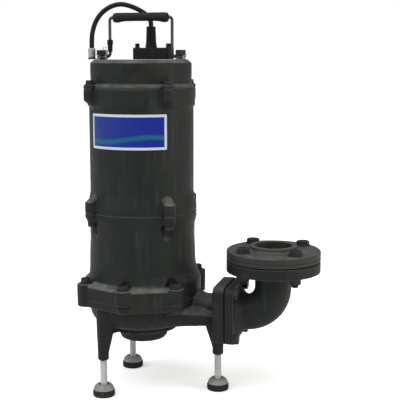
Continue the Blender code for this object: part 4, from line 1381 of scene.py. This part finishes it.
@dataclass
class Seams:
    """Beads of black sealing compound in the joints between the housings."""

    inset: float = 0.0009
    half_height: float = 0.0014
    bevel: float = 0.0001
    joints: tuple[tuple[str, str, float, float], ...] = (
        ("casing_seam", "oil_chamber", 0.1656, 0.16485),
        ("motor_seam", "motor_housing", 0.3076, 0.30715),
        ("cover_seam", "top_cover", 0.5103, 0.50985),
    )

    @staticmethod
    def section(node: str, height: float) -> list[Pair]:
        """Outline of a CAD node at a height.

        Args:
            node: Name of the node.
            height: The height.

        Returns:
            Its corners, in order around the motor's axis.
        """
        work = bmesh.new()
        work.from_mesh(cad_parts[node].data)
        solid = [*work.verts, *work.edges, *work.faces]
        parts = bmesh.ops.bisect_plane(work, geom=solid, plane_co=(0, 0, height), plane_no=(0, 0, 1))
        corners = [part.co for part in parts["geom_cut"] if isinstance(part, bmesh.types.BMVert)]
        outline = {}
        for corner in corners:
            across, side = corner.x - MOTOR_X, corner.y
            turn = round(math.degrees(math.atan2(side, across)), 1)
            reach = math.hypot(across, side)
            outline[turn] = max(outline.get(turn, 0.0), reach)
        work.free()
        return [polar(turn, outline[turn]) for turn in sorted(outline)]

    def build(self, bench: Bench) -> None:
        """Makes one bead in each joint.

        Args:
            bench: The bench that makes its pieces.
        """
        for name, node, cut, middle in self.joints:
            outline = self.section(node, cut)
            drawn_in = []
            for across, side in outline:
                reach = math.hypot(across, side)
                factor = (reach - self.inset) / reach
                drawn_in.append((across * factor, side * factor))
            shape = prism(drawn_in, middle - self.half_height, middle + self.half_height, self.bevel)
            bench.piece(name, shape.placed(spot_at(0, 0, 0)), Slot.GASKET)


@dataclass
class NamePlate:
    """Blank film plate on the front of the barrel."""

    radius: float = 0.0873
    thickness: float = 0.0008
    bottom: float = 0.4143
    top: float = 0.4706
    half_angle: float = 45.0
    corner: float = 0.0016
    bevel: float = 0.0002
    columns: int = 72

    def build(self, bench: Bench) -> None:
        """Makes the curved plate with small round corners.

        Args:
            bench: The bench that makes its pieces.
        """
        reach = math.radians(self.half_angle) * self.radius
        half = (self.top - self.bottom) / 2
        middle = (self.bottom + self.top) / 2
        straight = reach - self.corner
        places = [-straight + 2 * straight * step / self.columns for step in range(self.columns + 1)]
        ends = [straight + self.corner * math.sin(math.radians(turn)) for turn in (20, 45, 70, 88)]
        places = [-end for end in reversed(ends)] + places + ends
        rows = []
        for along in places:
            over = max(0.0, abs(along) - straight)
            drop = self.corner - math.sqrt(self.corner ** 2 - over ** 2)
            turn = -math.pi / 2 + along / self.radius
            row = []
            for out, up in (
                (0, -half + drop), (self.thickness - self.bevel, -half + drop),
                (self.thickness, -half + drop + self.bevel), (self.thickness, half - drop - self.bevel),
                (self.thickness - self.bevel, half - drop), (0, half - drop),
            ):
                reach_out = self.radius + out
                row.append((
                    MOTOR_X + reach_out * math.cos(turn), reach_out * math.sin(turn), middle + up
                ))
            rows.append(row)
        first, last = (
            [tuple(sum((Vector(point) for point in row), Vector()) / len(row))] for row in (rows[0], rows[-1])
        )
        shape = skinned([first, *rows, last])
        bench.piece("name_film", shape, Slot.PLATE_FILM, replaces=("name_plate",))


@dataclass
class PumpEnd:
    """Volute casing, suction cover and the cutter under them."""

    foot_places: tuple[Pair, ...] = ((-0.0460, -0.0763), (-0.0460, 0.0763), (0.1321, 0.0))
    bore_radius: float = 0.0068
    bore_top: float = 0.1088
    neck_height: float = 0.1412
    neck_pipe: tuple[Pair, ...] = ((0, 0.0600), (0.0256, 0.0600), (0.0256, 0.1340), (0, 0.1340))
    neck_collar: tuple[Pair, ...] = (
        (0, 0.0900), (0.0325, 0.0900), (0.0325, 0.0975), (0.0308, 0.1000), (0.0285, 0.1045),
        (0.0262, 0.1100), (0.0254, 0.1150), (0, 0.1150),
    )
    gusset_angles: Pair = (-121.0, 121.0)
    gusset_heights: Pair = (0.1046, 0.1320)
    gusset: tuple[Pair, ...] = (
        (0.0600, -0.0080), (0.0860, -0.0080), (0.0860, 0.0080), (0.0600, 0.0080),
    )
    cover_profile: tuple[Pair, ...] = (
        (0.0303, 0.1079), (0.0562, 0.1079), (0.0578, 0.1077), (0.0584, 0.1071), (0.0585, 0.1060),
        (0.0585, 0.1040), (0.0582, 0.1033), (0.0572, 0.1030), (0.0500, 0.1026), (0.0470, 0.1014),
        (0.0445, 0.0992), (0.0425, 0.0965), (0.0412, 0.0935), (0.0402, 0.0900), (0.0388, 0.0868),
        (0.0374, 0.0852), (0.0360, 0.0846), (0.0312, 0.0846), (0.0303, 0.0853),
    )
    cover_radius: float = 0.0585
    slot_angle: float = 274.0
    slot_width: float = 0.016
    slot_depth: float = 0.0035
    slot_root: Pair = (0.055, 0.1055)
    screw_pitch: float = 0.0530
    screw_height: float = 0.10295
    joint_zone: float = 0.1620
    joint_wear_and_highlight: float = 0.1
    joint_darkening: float = 0.55
    neck_zone: Pair = (0.0860, 0.1330)
    neck_fades: Pair = (0.015, 0.003)
    neck_shade: float = 0.50
    mould: Mould = Mould(
        voxel=0.0013, softening=2, waves=0.00018, axis_x=MOTOR_X, low=0.100, reach=0.101, keep=0.55
    )
    cutter_mould: Mould = Mould(voxel=0.0008, softening=1, waves=0.0)
    cutter_seat: float = 0.0862
    shaft: tuple[Pair, ...] = (
        (0, 0.0928), (0.0076, 0.0928), (0.0080, 0.0932), (0.0080, 0.1080), (0, 0.1080),
    )

    def casing(self, bench: Bench) -> None:
        """Makes the volute casing, with a fine neck and two gussets.

        Args:
            bench: The bench that makes its pieces.
        """
        neck = lathe(self.neck_pipe).add(lathe(self.neck_collar))
        neck = neck.placed(spot_at(0, 0, self.neck_height) @ QUARTER_TURN)
        for angle in self.gusset_angles:
            turn = Matrix.Rotation(math.radians(angle), 4, "Z")
            neck.add(prism(self.gusset, *self.gusset_heights), spot_at(0, 0, 0) @ turn)
        item = bench.casting("volute_casting", "volute_casing", self.mould, extra=neck)
        self.darken_joint_and_shade_neck(item.data)
        self.open_bores(item.data)

    def darken_joint_and_shade_neck(self, data: bpy.types.Mesh) -> None:
        """Dulls the rim at the upper joint, taking off most of its rubbed look and painted highlight, and
        darkens it there; darkens the neck by painted shade, which the flange shelters.

        Args:
            data: The casing's mesh.
        """
        edges = data.attributes["edge"].data
        start, end = self.neck_zone
        near_fade, far_fade = self.neck_fades
        shade_and_grime = {}
        for point in data.vertices:
            # Above the upper joint: less rubbed look and painted highlight, and darker.
            if point.co.z > self.joint_zone:
                edges[point.index].value *= self.joint_wear_and_highlight
                shade_and_grime[point.index] = self.joint_darkening
            else:
                # Neck: painted shade under the flange, fading in and out along the neck.
                across = point.co.x - MOTOR_X
                share = min((across - start) / near_fade, (end - across) / far_fade, 1)
                shade_and_grime[point.index] = self.neck_shade * share
        add_shade_and_grime(data, shade_and_grime)

    def open_bores(self, data: bpy.types.Mesh) -> None:
        """Widens the bores in the legs to the studs' running fit.

        Args:
            data: The casing's mesh.
        """
        for across, side in self.foot_places:
            for point in data.vertices:
                away = Vector((point.co.x - MOTOR_X - across, point.co.y - side))
                if point.co.z < self.bore_top and away.length < self.bore_radius:
                    away = away.normalized() * self.bore_radius
                    point.co.x, point.co.y = MOTOR_X + across + away.x, side + away.y

    def cover(self, bench: Bench) -> None:
        """Makes the suction cover, with a pry slot in its rim and six screws.

        Args:
            bench: The bench that makes its pieces.
        """
        steps = 192
        root_radius, root_height = self.slot_root
        rows = []
        for radius, height in self.cover_profile:
            row = []
            for step in range(steps):
                angle = 360 * step / steps
                apart = abs((angle - self.slot_angle + 180) % 360 - 180)
                inside = math.radians(apart) * self.cover_radius < self.slot_width / 2
                inside = inside and radius > root_radius and height > root_height
                cut = self.slot_depth if inside else 0.0
                row.append((*polar(angle, radius - cut), height))
            rows.append(row)
        shape = skinned(rows, ring=True).placed(spot_at(0, 0, 0))
        bench.piece("suction_cover_casting", shape, Slot.PAINTED_IRON, replaces=("suction_cover",))
        screw = cap_screw(radius=0.0042, height=0.0040, recess=0.0040)
        for number in range(6):
            spot = spot_at(*polar(30 + 60 * number, self.screw_pitch), self.screw_height) @ HALF_TURN
            bench.piece(f"cover_screw_{number + 1}", screw.placed(spot), Slot.BOLT_STEEL)

    def cutter(self, bench: Bench) -> None:
        """Makes the notched ring, the blade, its bolt and the shaft.

        Args:
            bench: The bench that makes its pieces.
        """
        for name in ("cutter_ring", "cutter_blade"):
            bench.casting(f"{name}_ground", name, self.cutter_mould, Slot.CUTTER_STEEL)
        head = M6.body().placed(spot_at(0, 0, self.cutter_seat) @ HALF_TURN)
        bench.piece("cutter_bolt_head", head, Slot.BOLT_STEEL, replaces=("cutter_bolt",))
        shaft = lathe(self.shaft, 48).placed(spot_at(0, 0, 0))
        bench.piece("shaft_end", shaft, Slot.BRIGHT_STEEL, replaces=("motor_shaft",))

    def build(self, bench: Bench) -> None:
        """Makes the whole pump end.

        Args:
            bench: The bench that makes its pieces.
        """
        self.casing(bench)
        self.cover(bench)
        self.cutter(bench)


@dataclass
class Discharge:
    """Elbow, companion flange, their gasket and all the bolts."""

    outlet_height: float = 0.1398
    bend: float = 0.0445
    axis_x: float = 0.2255
    pipe: float = 0.0301
    lining: float = 0.0262
    pipe_ends: Pair = (0.1600, 0.2150)
    ridge: float = 0.0011
    ridge_sink: float = 0.0005
    outer_ridge: Pair = (0.1900, 0.2110)
    inner_ridge: Pair = (0.1800, 0.1900)
    flange_face: float = 0.1685
    outlet_offset: float = 0.0380
    flange_pitch: float = 0.0600
    flange_top: float = 0.2488
    flange_underside: float = 0.2119
    nut_height: float = 0.0100
    nut_play: float = 0.0001
    rim_inside: float = 0.0760
    groove_height: float = 0.2376
    groove_depth: float = 0.0014
    groove_half: float = 0.0015
    groove_shade_and_grime: float = 0.9
    gasket: tuple[Pair, ...] = (
        (0.0300, 0.2300), (0.0477, 0.2300), (0.0480, 0.2303), (0.0480, 0.2312), (0.0477, 0.2315),
        (0.0300, 0.2315),
    )

    def line(self, radius: float, start: float, end: float, steps: int = 24) -> list[Point]:
        """Line in the elbow's middle plane.

        Args:
            radius: Its distance from the bend's centre.
            start: Where it starts, across from the motor's axis.
            end: Height where it ends.
            steps: Stretches in the bend.

        Returns:
            Its points.
        """
        centre = (self.axis_x - self.bend, self.outlet_height + self.bend)
        turned_line = arc(centre, radius, radius, -90, 0, steps)
        offset = radius - self.bend
        path = [(start, self.outlet_height - offset), *turned_line, (self.axis_x + offset, end)]
        return [(MOTOR_X + across, 0.0, up) for across, up in path]

    def elbow(self, bench: Bench) -> None:
        """Makes the cast elbow with a fine wall and the ridge where its mould halves met.

        Args:
            bench: The bench that makes its pieces.
        """
        reach = self.pipe - self.ridge_sink
        extra = pipe(self.line(self.bend, *self.pipe_ends), self.pipe, self.lining)
        extra.add(swept(self.line(self.bend + reach, *self.outer_ridge), self.ridge, 12))
        extra.add(swept(self.line(self.bend - reach, *self.inner_ridge, 10), self.ridge, 12))
        mould = Mould(
            voxel=0.0014, softening=2, waves=0.00016, axis_x=MOTOR_X + self.axis_x, low=0.2110
        )
        # The elbow takes the shaded copy of the paint, with less painted top light.
        bench.casting(
            "discharge_elbow_casting", "discharge_elbow", mould, extra=extra, look=Look.SHELTERED_IRON
        )

    def companion(self, bench: Bench) -> None:
        """Makes the loose flange, with a turned groove around its rim, and the gasket under it.

        Args:
            bench: The bench that makes its pieces.
        """
        mould = Mould(voxel=0.0011, softening=2, waves=0.00010, axis_x=MOTOR_X + self.axis_x)
        item = bench.casting("companion_flange_casting", "companion_flange", mould, Slot.FLANGE_IRON)
        shade_and_grime = {}
        for point in item.data.vertices:
            away = Vector((point.co.x - MOTOR_X - self.axis_x, point.co.y))
            share = 1 - abs(point.co.z - self.groove_height) / self.groove_half
            if share > 0 and away.length > self.rim_inside:
                away *= 1 - self.groove_depth * share / away.length
                point.co.x, point.co.y = MOTOR_X + self.axis_x + away.x, away.y
                # The groove is darkened by painted shade falling in it, and by dirt.
                shade_and_grime[point.index] = self.groove_shade_and_grime * share
        add_shade_and_grime(item.data, shade_and_grime)
        gasket = lathe(self.gasket, ring=True).placed(spot_at(self.axis_x, 0, 0))
        bench.piece("discharge_gasket_ring", gasket, Slot.GASKET, replaces=("discharge_gasket",))

    def bolts(self, bench: Bench) -> None:
        """Makes the four flange bolts with their nuts and the four outlet bolts.

        Args:
            bench: The bench that makes its pieces.
        """
        nut = M12.body(self.nut_height, bore=M12.shank + self.nut_play, under=True)
        for number, angle in enumerate(CORNER_ANGLES, 1):
            across, side = polar(angle, self.flange_pitch)
            spot = spot_at(self.axis_x + across, side, self.flange_top)
            shape = bolt(M12, length=0.0520, washer=0.0120, thickness=0.0014, turn=30 + 11 * number)
            name = f"discharge_bolt_{number}"
            bench.piece(f"flange_bolt_{number}", shape.placed(spot), Slot.BOLT_STEEL, replaces=(name,))
            turn = Matrix.Rotation(math.radians(17 * number), 4, "Z")
            spot = spot_at(self.axis_x + across, side, self.flange_underside - self.nut_height) @ turn
            name = f"discharge_nut_{number}"
            bench.piece(f"flange_nut_{number}", nut.placed(spot), Slot.BOLT_STEEL, replaces=(name,))
        offset = self.outlet_offset
        corners = [(side, up) for side in (-offset, offset) for up in (-offset, offset)]
        for number, (side, up) in enumerate(corners, 1):
            shape = bolt(
                M10_FLANGED, length=0.0340, washer=0.0092, thickness=0.0008, turn=30 + 13 * number
            )
            spot = spot_at(self.flange_face, side, self.outlet_height + up) @ QUARTER_TURN
            name = f"outlet_bolt_{number}"
            bench.piece(f"elbow_bolt_{number}", shape.placed(spot), Slot.BOLT_STEEL, replaces=(name,))

    def build(self, bench: Bench) -> None:
        """Makes the whole discharge.

        Args:
            bench: The bench that makes its pieces.
        """
        self.elbow(bench)
        self.companion(bench)
        self.bolts(bench)


@dataclass
class TopGear:
    """Handle, gland, clip and tag wire on the top cover."""

    half: float = 0.0537
    foot: float = 0.0680
    rod: float = 0.00245
    grip_height: float = 0.6255
    corner: float = 0.0060
    foot_bottom: float = 0.5589
    foot_thickness: float = 0.0040
    bolt_seat: float = 0.5632
    grip_half: tuple[Pair, ...] = (
        (0.0030, 0.0476), (0.0050, 0.0475), (0.0067, 0.0466), (0.0077, 0.0446), (0.0081, 0.0412),
        (0.0080, 0.0380), (0.0076, 0.0350), (0.0072, 0.0315), (0.0070, 0.0260), (0.0069, 0.0180),
    )
    grip_rise: float = 0.0003
    grip_sag: float = 0.0008
    sag_start: float = 0.028
    sag_length: float = 0.012
    clip_x: float = -0.0863
    gland_x: float = 0.0090
    gland_y: float = 0.0280
    plate_heights: Pair = (0.5569, 0.5760)
    gland_screws: tuple[Pair, ...] = ((-0.0153, 0.0037), (0.0402, 0.0051))
    screw_height: float = 0.0062
    washer_height: float = 0.0010
    tie: tuple[Pair, ...] = (
        (0.0028, 0.5690), (0.0036, 0.5692), (0.0041, 0.5720), (0.0039, 0.5745), (0.0043, 0.5770),
        (0.0040, 0.5795), (0.0047, 0.5818), (0.0050, 0.5835), (0.0047, 0.5848), (0.0050, 0.5862),
        (0.0047, 0.5882), (0.0040, 0.5890), (0.0028, 0.5892),
    )
    ferrule: tuple[Pair, ...] = (
        (0.0043, 0.5724), (0.0043, 0.5750), (0.0050, 0.5755), (0.0059, 0.5751), (0.0061, 0.5740),
        (0.0061, 0.5722), (0.0059, 0.5716), (0.0060, 0.5710), (0.0061, 0.5615), (0.0059, 0.5606),
        (0.0050, 0.5604), (0.0050, 0.5724),
    )
    sleeve_heights: Pair = (0.5850, 0.6060)
    sleeve_radius: float = 0.0087
    sleeve_pitch: float = 0.0036
    sleeve_groove: float = 0.0007
    sleeve_taper: float = 0.00011
    wire: float = 0.0007
    wire_y: float = -0.0045

    def handle(self, bench: Bench) -> None:
        """Makes the bent rod with its flat feet, the grip, the tie collar and two bolts.

        Args:
            bench: The bench that makes its pieces.
        """
        centre = (self.half - self.corner, self.grip_height - self.corner)
        right = [
            (0.0640, 0.5609), (0.0590, 0.5612), (0.0568, 0.5619), (0.0552, 0.5631), (0.0541, 0.5650),
            (self.half, 0.5674), *arc(centre, self.corner, self.corner, 0, 90, 10),
        ]
        left = [(-across, up) for across, up in reversed(right)]
        path = [(MOTOR_X + across, 0.0, up) for across, up in right + left]
        bar = swept(path, self.rod, 32)
        bottom, top, soft = self.foot_bottom, self.foot_bottom + self.foot_thickness, 0.0006
        foot = lathe([
            (0.0054, bottom), (0.0080, bottom), (0.0085, bottom + soft), (0.0085, top - soft),
            (0.0080, top), (0.0054, top),
        ], 64, ring=True)
        for across in (-self.foot, self.foot):
            bar.add(foot, spot_at(across, 0, 0))
        bench.piece("handle_bar", bar, Slot.BRIGHT_STEEL, replaces=("handle_rod",), look=Look.HANDLE_ROD)
        bench.piece("handle_sleeve", self.grip(), Slot.BLACK_PLASTIC, replaces=("handle_grip",))
        tie = lathe(self.tie, 32, ring=True).placed(spot_at(-self.half, 0, 0))
        bench.piece("handle_collar", tie, Slot.RUBBER, replaces=("handle_tie",), look=Look.SMOOTH_RUBBER)
        for number, across in enumerate((self.foot, -self.foot), 1):
            spot = spot_at(across, 0, self.bolt_seat)
            shape = bolt(M10_TALL, length=0.0180, washer=0.0098, thickness=0.0016, turn=20 * number)
            bench.piece(
                f"handle_foot_bolt_{number}", shape.placed(spot), Slot.BOLT_STEEL,
                replaces=(f"handle_bolt_{number}",),
            )

    def plate_end(self) -> Shape:
        """Left end of the gland plate, a little longer than the CAD's.

        Returns:
            The end, which overlaps the CAD's plate.
        """
        radius, half, left, right = 0.0090, 0.0165, -0.0114, 0.0100
        near, far = self.gland_y - half, self.gland_y + half
        outline = [
            *arc((left, near + radius), radius, radius, 180, 270, 8), (right, near), (right, far),
            *arc((left, far - radius), radius, radius, 90, 180, 8),
        ]
        return prism([(MOTOR_X + across, side) for across, side in outline], *self.plate_heights)

    def grip(self) -> Shape:
        """Moulded grip that sags a little at its thick ends and is slimmer in the middle.

        Returns:
            The grip, open around the rod.
        """
        mirrored = [(radius, -along) for radius, along in reversed(self.grip_half)]
        bore = self.grip_half[0][0]
        rows = []
        for radius, along in (*self.grip_half, *mirrored):
            ends = min(1.0, max(0.0, (abs(along) - self.sag_start) / self.sag_length))
            lift = (self.grip_rise * (1 - ends) - self.grip_sag * ends) if radius > bore else 0.0
            circle = [polar(7.5 * step, radius) for step in range(48)]
            rows.append([(MOTOR_X + along, side, self.grip_height + lift + up) for side, up in circle])
        return skinned(rows, ring=True)

    def gland(self, bench: Bench) -> None:
        """Makes the gland plate with its two screws and the tapered ringed sleeve.

        Args:
            bench: The bench that makes its pieces.
        """
        mould = Mould(voxel=0.0009, softening=2, waves=0.0001)
        bench.casting("gland_casting", "gland_plate", mould, extra=self.plate_end())
        for number, (across, radius) in enumerate(self.gland_screws, 1):
            screw = M8.washer(radius + 0.0010, self.washer_height).add(
                cap_screw(radius, self.screw_height, radius), Matrix.Translation((0, 0, self.washer_height))
            )
            spot = spot_at(across, self.gland_y, self.plate_heights[1])
            bench.piece(f"gland_screw_{number}", screw.placed(spot), Slot.BOLT_STEEL)
        profile = [(0, 0.5763), (0.0099, 0.5763), (0.0099, 0.5775), (0.0093, 0.5795), (0.0089, 0.5820)]
        height, top = self.sleeve_heights
        radius = self.sleeve_radius
        while height < top:
            root = radius - self.sleeve_groove
            profile += [
                (radius, height), (radius, height + 0.0018), (root, height + 0.0023),
                (root, height + 0.0031),
            ]
            height += self.sleeve_pitch
            radius -= self.sleeve_taper
        profile += [(0.0080, 0.6078), (0.0080, 0.6092), (0.0076, 0.6104), (0.0066, 0.6110), (0, 0.6110)]
        sleeve = lathe(profile, 48).placed(spot_at(self.gland_x, self.gland_y, 0))
        bench.piece("gland_boot", sleeve, Slot.RUBBER, replaces=("gland_sleeve",), look=Look.SMOOTH_RUBBER)

    def clip(self, bench: Bench) -> None:
        """Makes the clip with its cup, the lead's ferrule and the wire loop beside it.

        Args:
            bench: The bench that makes its pieces.
        """
        mould = Mould(voxel=0.0005, softening=2, waves=0.0)
        bench.casting(
            "lead_clip_pressing", "lead_clip", mould, Slot.BRIGHT_STEEL, look=Look.HANDLE_ROD
        )
        ferrule = lathe(self.ferrule, 48, ring=True).placed(spot_at(self.clip_x, 0, 0))
        bench.piece("lead_ferrule", ferrule, Slot.BRIGHT_STEEL, look=Look.FERRULE)
        bow = arc((-0.0617, 0.5735), 0.0028, 0.0042, 0, 180, 12)
        path = [(-0.0600, 0.5587), (-0.0592, 0.5680), *bow, (-0.0640, 0.5680), (-0.0632, 0.5587)]
        line = [(MOTOR_X + across, self.wire_y, up) for across, up in path]
        bench.piece("tag_wire", swept(line, self.wire, 12), Slot.BRIGHT_STEEL)

    def build(self, bench: Bench) -> None:
        """Makes everything on the top cover.

        Args:
            bench: The bench that makes its pieces.
        """
        self.handle(bench)
        self.gland(bench)
        self.clip(bench)


@dataclass
class Foot:
    """One adjustable foot: rubber pad, pressed cup, threaded stud and sealing washer."""

    number: int
    place: Pair
    body: Body
    pad: tuple[Pair, ...] = (
        (0, 0.0109), (0.0165, 0.0109), (0.0178, 0.0104), (0.0184, 0.0092), (0.0184, 0.0068),
        (0.0181, 0.0062), (0.0181, 0.0056), (0.0184, 0.0050), (0.0184, 0.0030), (0.0181, 0.0012),
        (0.0172, 0.0003), (0.0160, 0.0), (0.0120, 0.0), (0.0112, 0.0008), (0, 0.0008),
    )
    cup: tuple[Pair, ...] = (
        (0, 0.0186), (0.0078, 0.0186), (0.0084, 0.0190), (0.0090, 0.0202), (0.0097, 0.0205),
        (0.0104, 0.0203), (0.0114, 0.0196), (0.0128, 0.0190), (0.0142, 0.0179), (0.0154, 0.0164),
        (0.0163, 0.0148), (0.0169, 0.0130), (0.0172, 0.0116), (0.0170, 0.0113), (0, 0.0113),
    )
    stud_radius: float = 0.0058
    stud_pitch: float = 0.00175
    stud_ends: Pair = (0.0184, 0.0820)
    washer: tuple[Pair, ...] = (
        (0.0060, 0.0186), (0.0083, 0.0186), (0.0083, 0.0190), (0.0077, 0.0194), (0.0060, 0.0194),
    )

    def build(self, bench: Bench) -> None:
        """Makes the foot on its own sliding body.

        Args:
            bench: The bench that makes its pieces.
        """
        spot = spot_at(*self.place, 0)
        name = f"foot_{self.number}"
        pad = lathe(self.pad, 72).placed(spot)
        bench.piece(f"{name}_rubber_pad", pad, Slot.RUBBER, self.body, (f"{name}_pad",))
        cup = lathe(self.cup, 72).placed(spot)
        bench.piece(f"{name}_pressed_cup", cup, Slot.CUP_STEEL, self.body, (f"{name}_cup",))
        stud = threaded(self.stud_radius, *self.stud_ends, self.stud_pitch).placed(spot)
        bench.piece(
            f"{name}_threaded_stud", stud, Slot.BRIGHT_STEEL, self.body, (f"{name}_stud",), Look.FOOT_STUD
        )
        washer = lathe(self.washer, 48, ring=True).placed(spot)
        bench.piece(f"{name}_sealing_washer", washer, Slot.RUBBER, self.body)


class Pump:
    """The whole dressed pump."""

    def __init__(self) -> None:
        """Builds the shared effects and every finish."""
        effects = Effects()
        plate = NamePlate()
        # The pale colour on upward faces also paints top light, the rubbed colour on edges also paints
        # highlight, and hollows take painted shade.
        painted = PaintedCasting(
            "black_painted_iron", paint=(0.0120, 0.0146, 0.0128), shade=(0.0082, 0.0104, 0.0092),
            worn_and_highlight=(0.062, 0.066, 0.061), dust=(0.115, 0.120, 0.111), tint=(0.0185, 0.0175, 0.0125),
            dust_and_top_light_share=0.95,
        )
        finishes = {
            Slot.PAINTED_IRON: painted,
            # Shaded copy of the painted iron, with less painted top light, for the elbow under the flange.
            Look.SHELTERED_IRON: replace(painted, name="shaded_copy_painted_iron", dust_and_top_light_share=0.20),
            Slot.FLANGE_IRON: PaintedCasting(
                "grey_painted_iron", paint=(0.0310, 0.0325, 0.0295), shade=(0.0215, 0.0232, 0.0212),
                worn_and_highlight=(0.085, 0.088, 0.082), dust=(0.080, 0.085, 0.082), tint=(0.0300, 0.0275, 0.0170),
                dust_and_top_light_share=0.85,
            ),
            Slot.BOLT_STEEL: Steel(
                "black_oxide_steel", metal=(0.0055, 0.0068, 0.0060), stain=(0.0110, 0.0120, 0.0100),
                roughness=0.50, metallic=0.0, specular=0.13,
            ),
            Slot.BRIGHT_STEEL: Steel(
                "bright_turned_steel", metal=(0.50, 0.50, 0.49), stain=(0.26, 0.25, 0.23), roughness=0.34
            ),
            Look.SMOOTH_RUBBER: Moulding(
                "smooth_rubber", base=(0.0065, 0.0075, 0.0065), bloom_and_top_light=(0.020, 0.022, 0.020),
                roughness=0.68, specular=0.13,
            ),
            Look.HANDLE_ROD: Steel(
                "dull_rod_steel", metal=(0.065, 0.066, 0.063), stain=(0.035, 0.034, 0.029), roughness=0.36
            ),
            Look.FOOT_STUD: Steel(
                "plated_stud_steel", metal=(0.44, 0.45, 0.44), stain=(0.34, 0.34, 0.32), roughness=0.58,
                metallic=0.25, specular=0.2,
            ),
            Look.FERRULE: Steel(
                "dull_ferrule_steel", metal=(0.34, 0.34, 0.33), stain=(0.15, 0.145, 0.13),
                roughness=0.50, metallic=0.7,
            ),
            Slot.CUP_STEEL: Steel(
                "dull_plated_steel", metal=(0.235, 0.24, 0.23), stain=(0.15, 0.15, 0.14),
                roughness=0.62, metallic=0.35, staining=0.8, specular=0.2,
            ),
            Slot.CUTTER_STEEL: Steel(
                "ground_hard_steel", metal=(0.42, 0.42, 0.42), stain=(0.20, 0.18, 0.16), roughness=0.34
            ),
            Slot.RUBBER: Moulding(
                "black_rubber", base=(0.009, 0.009, 0.009), bloom_and_top_light=(0.06, 0.06, 0.058),
                roughness=0.78, specks=0.8, specular=0.15,
            ),
            Slot.BLACK_PLASTIC: Moulding(
                "black_grip_plastic", base=(0.0085, 0.0095, 0.0085), bloom_and_top_light=(0.028, 0.030, 0.028),
                roughness=0.55, specular=0.13,
            ),
            Slot.LEAD_SHEATH: Moulding(
                "black_cable_sheath", base=(0.0065, 0.0075, 0.0065), bloom_and_top_light=(0.022, 0.024, 0.022),
                roughness=0.50, specular=0.13,
            ),
            Slot.GASKET: Moulding(
                "pressed_fibre", base=(0.006, 0.006, 0.006), bloom_and_top_light=(0.014, 0.014, 0.013),
                roughness=0.90, specular=0.0,
            ),
            Slot.PLATE_FILM: PrintedFilm(
                "blue_printed_film", plate.bottom, plate.top, plate.half_angle, plate.radius
            ),
        }
        self.bench = Bench({look: finish.build(effects) for look, finish in finishes.items()})

    def dress_frame(self) -> None:
        """Gives each CAD node that stays the finish of its own slot."""
        for name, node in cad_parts.items():
            for place in node.material_slots:
                slot = Slot(place.material.name.split(".")[0])
                place.material = self.bench.materials[slot]
            LOG.info("%s keeps its CAD shape until a piece replaces it", name)

    def build(self) -> None:
        """Makes every piece, the lead first."""
        self.dress_frame()
        bodies = (Body.FOOT_1, Body.FOOT_2, Body.FOOT_3)
        end = PumpEnd()
        places = zip(end.foot_places, bodies)
        feet = [Foot(number, place, body) for number, (place, body) in enumerate(places, 1)]
        for part in (PowerLead(), Housings(), Seams(), NamePlate(), end, Discharge(), TopGear(), *feet):
            part.build(self.bench)


def main() -> None:
    """Builds the studio and the pump."""
    logging.basicConfig(level=logging.INFO, format="%(message)s")
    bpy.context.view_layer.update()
    studio = Studio()
    studio.camera()
    Pump().build()
    studio.build()


if __name__ == "__main__":
    main()
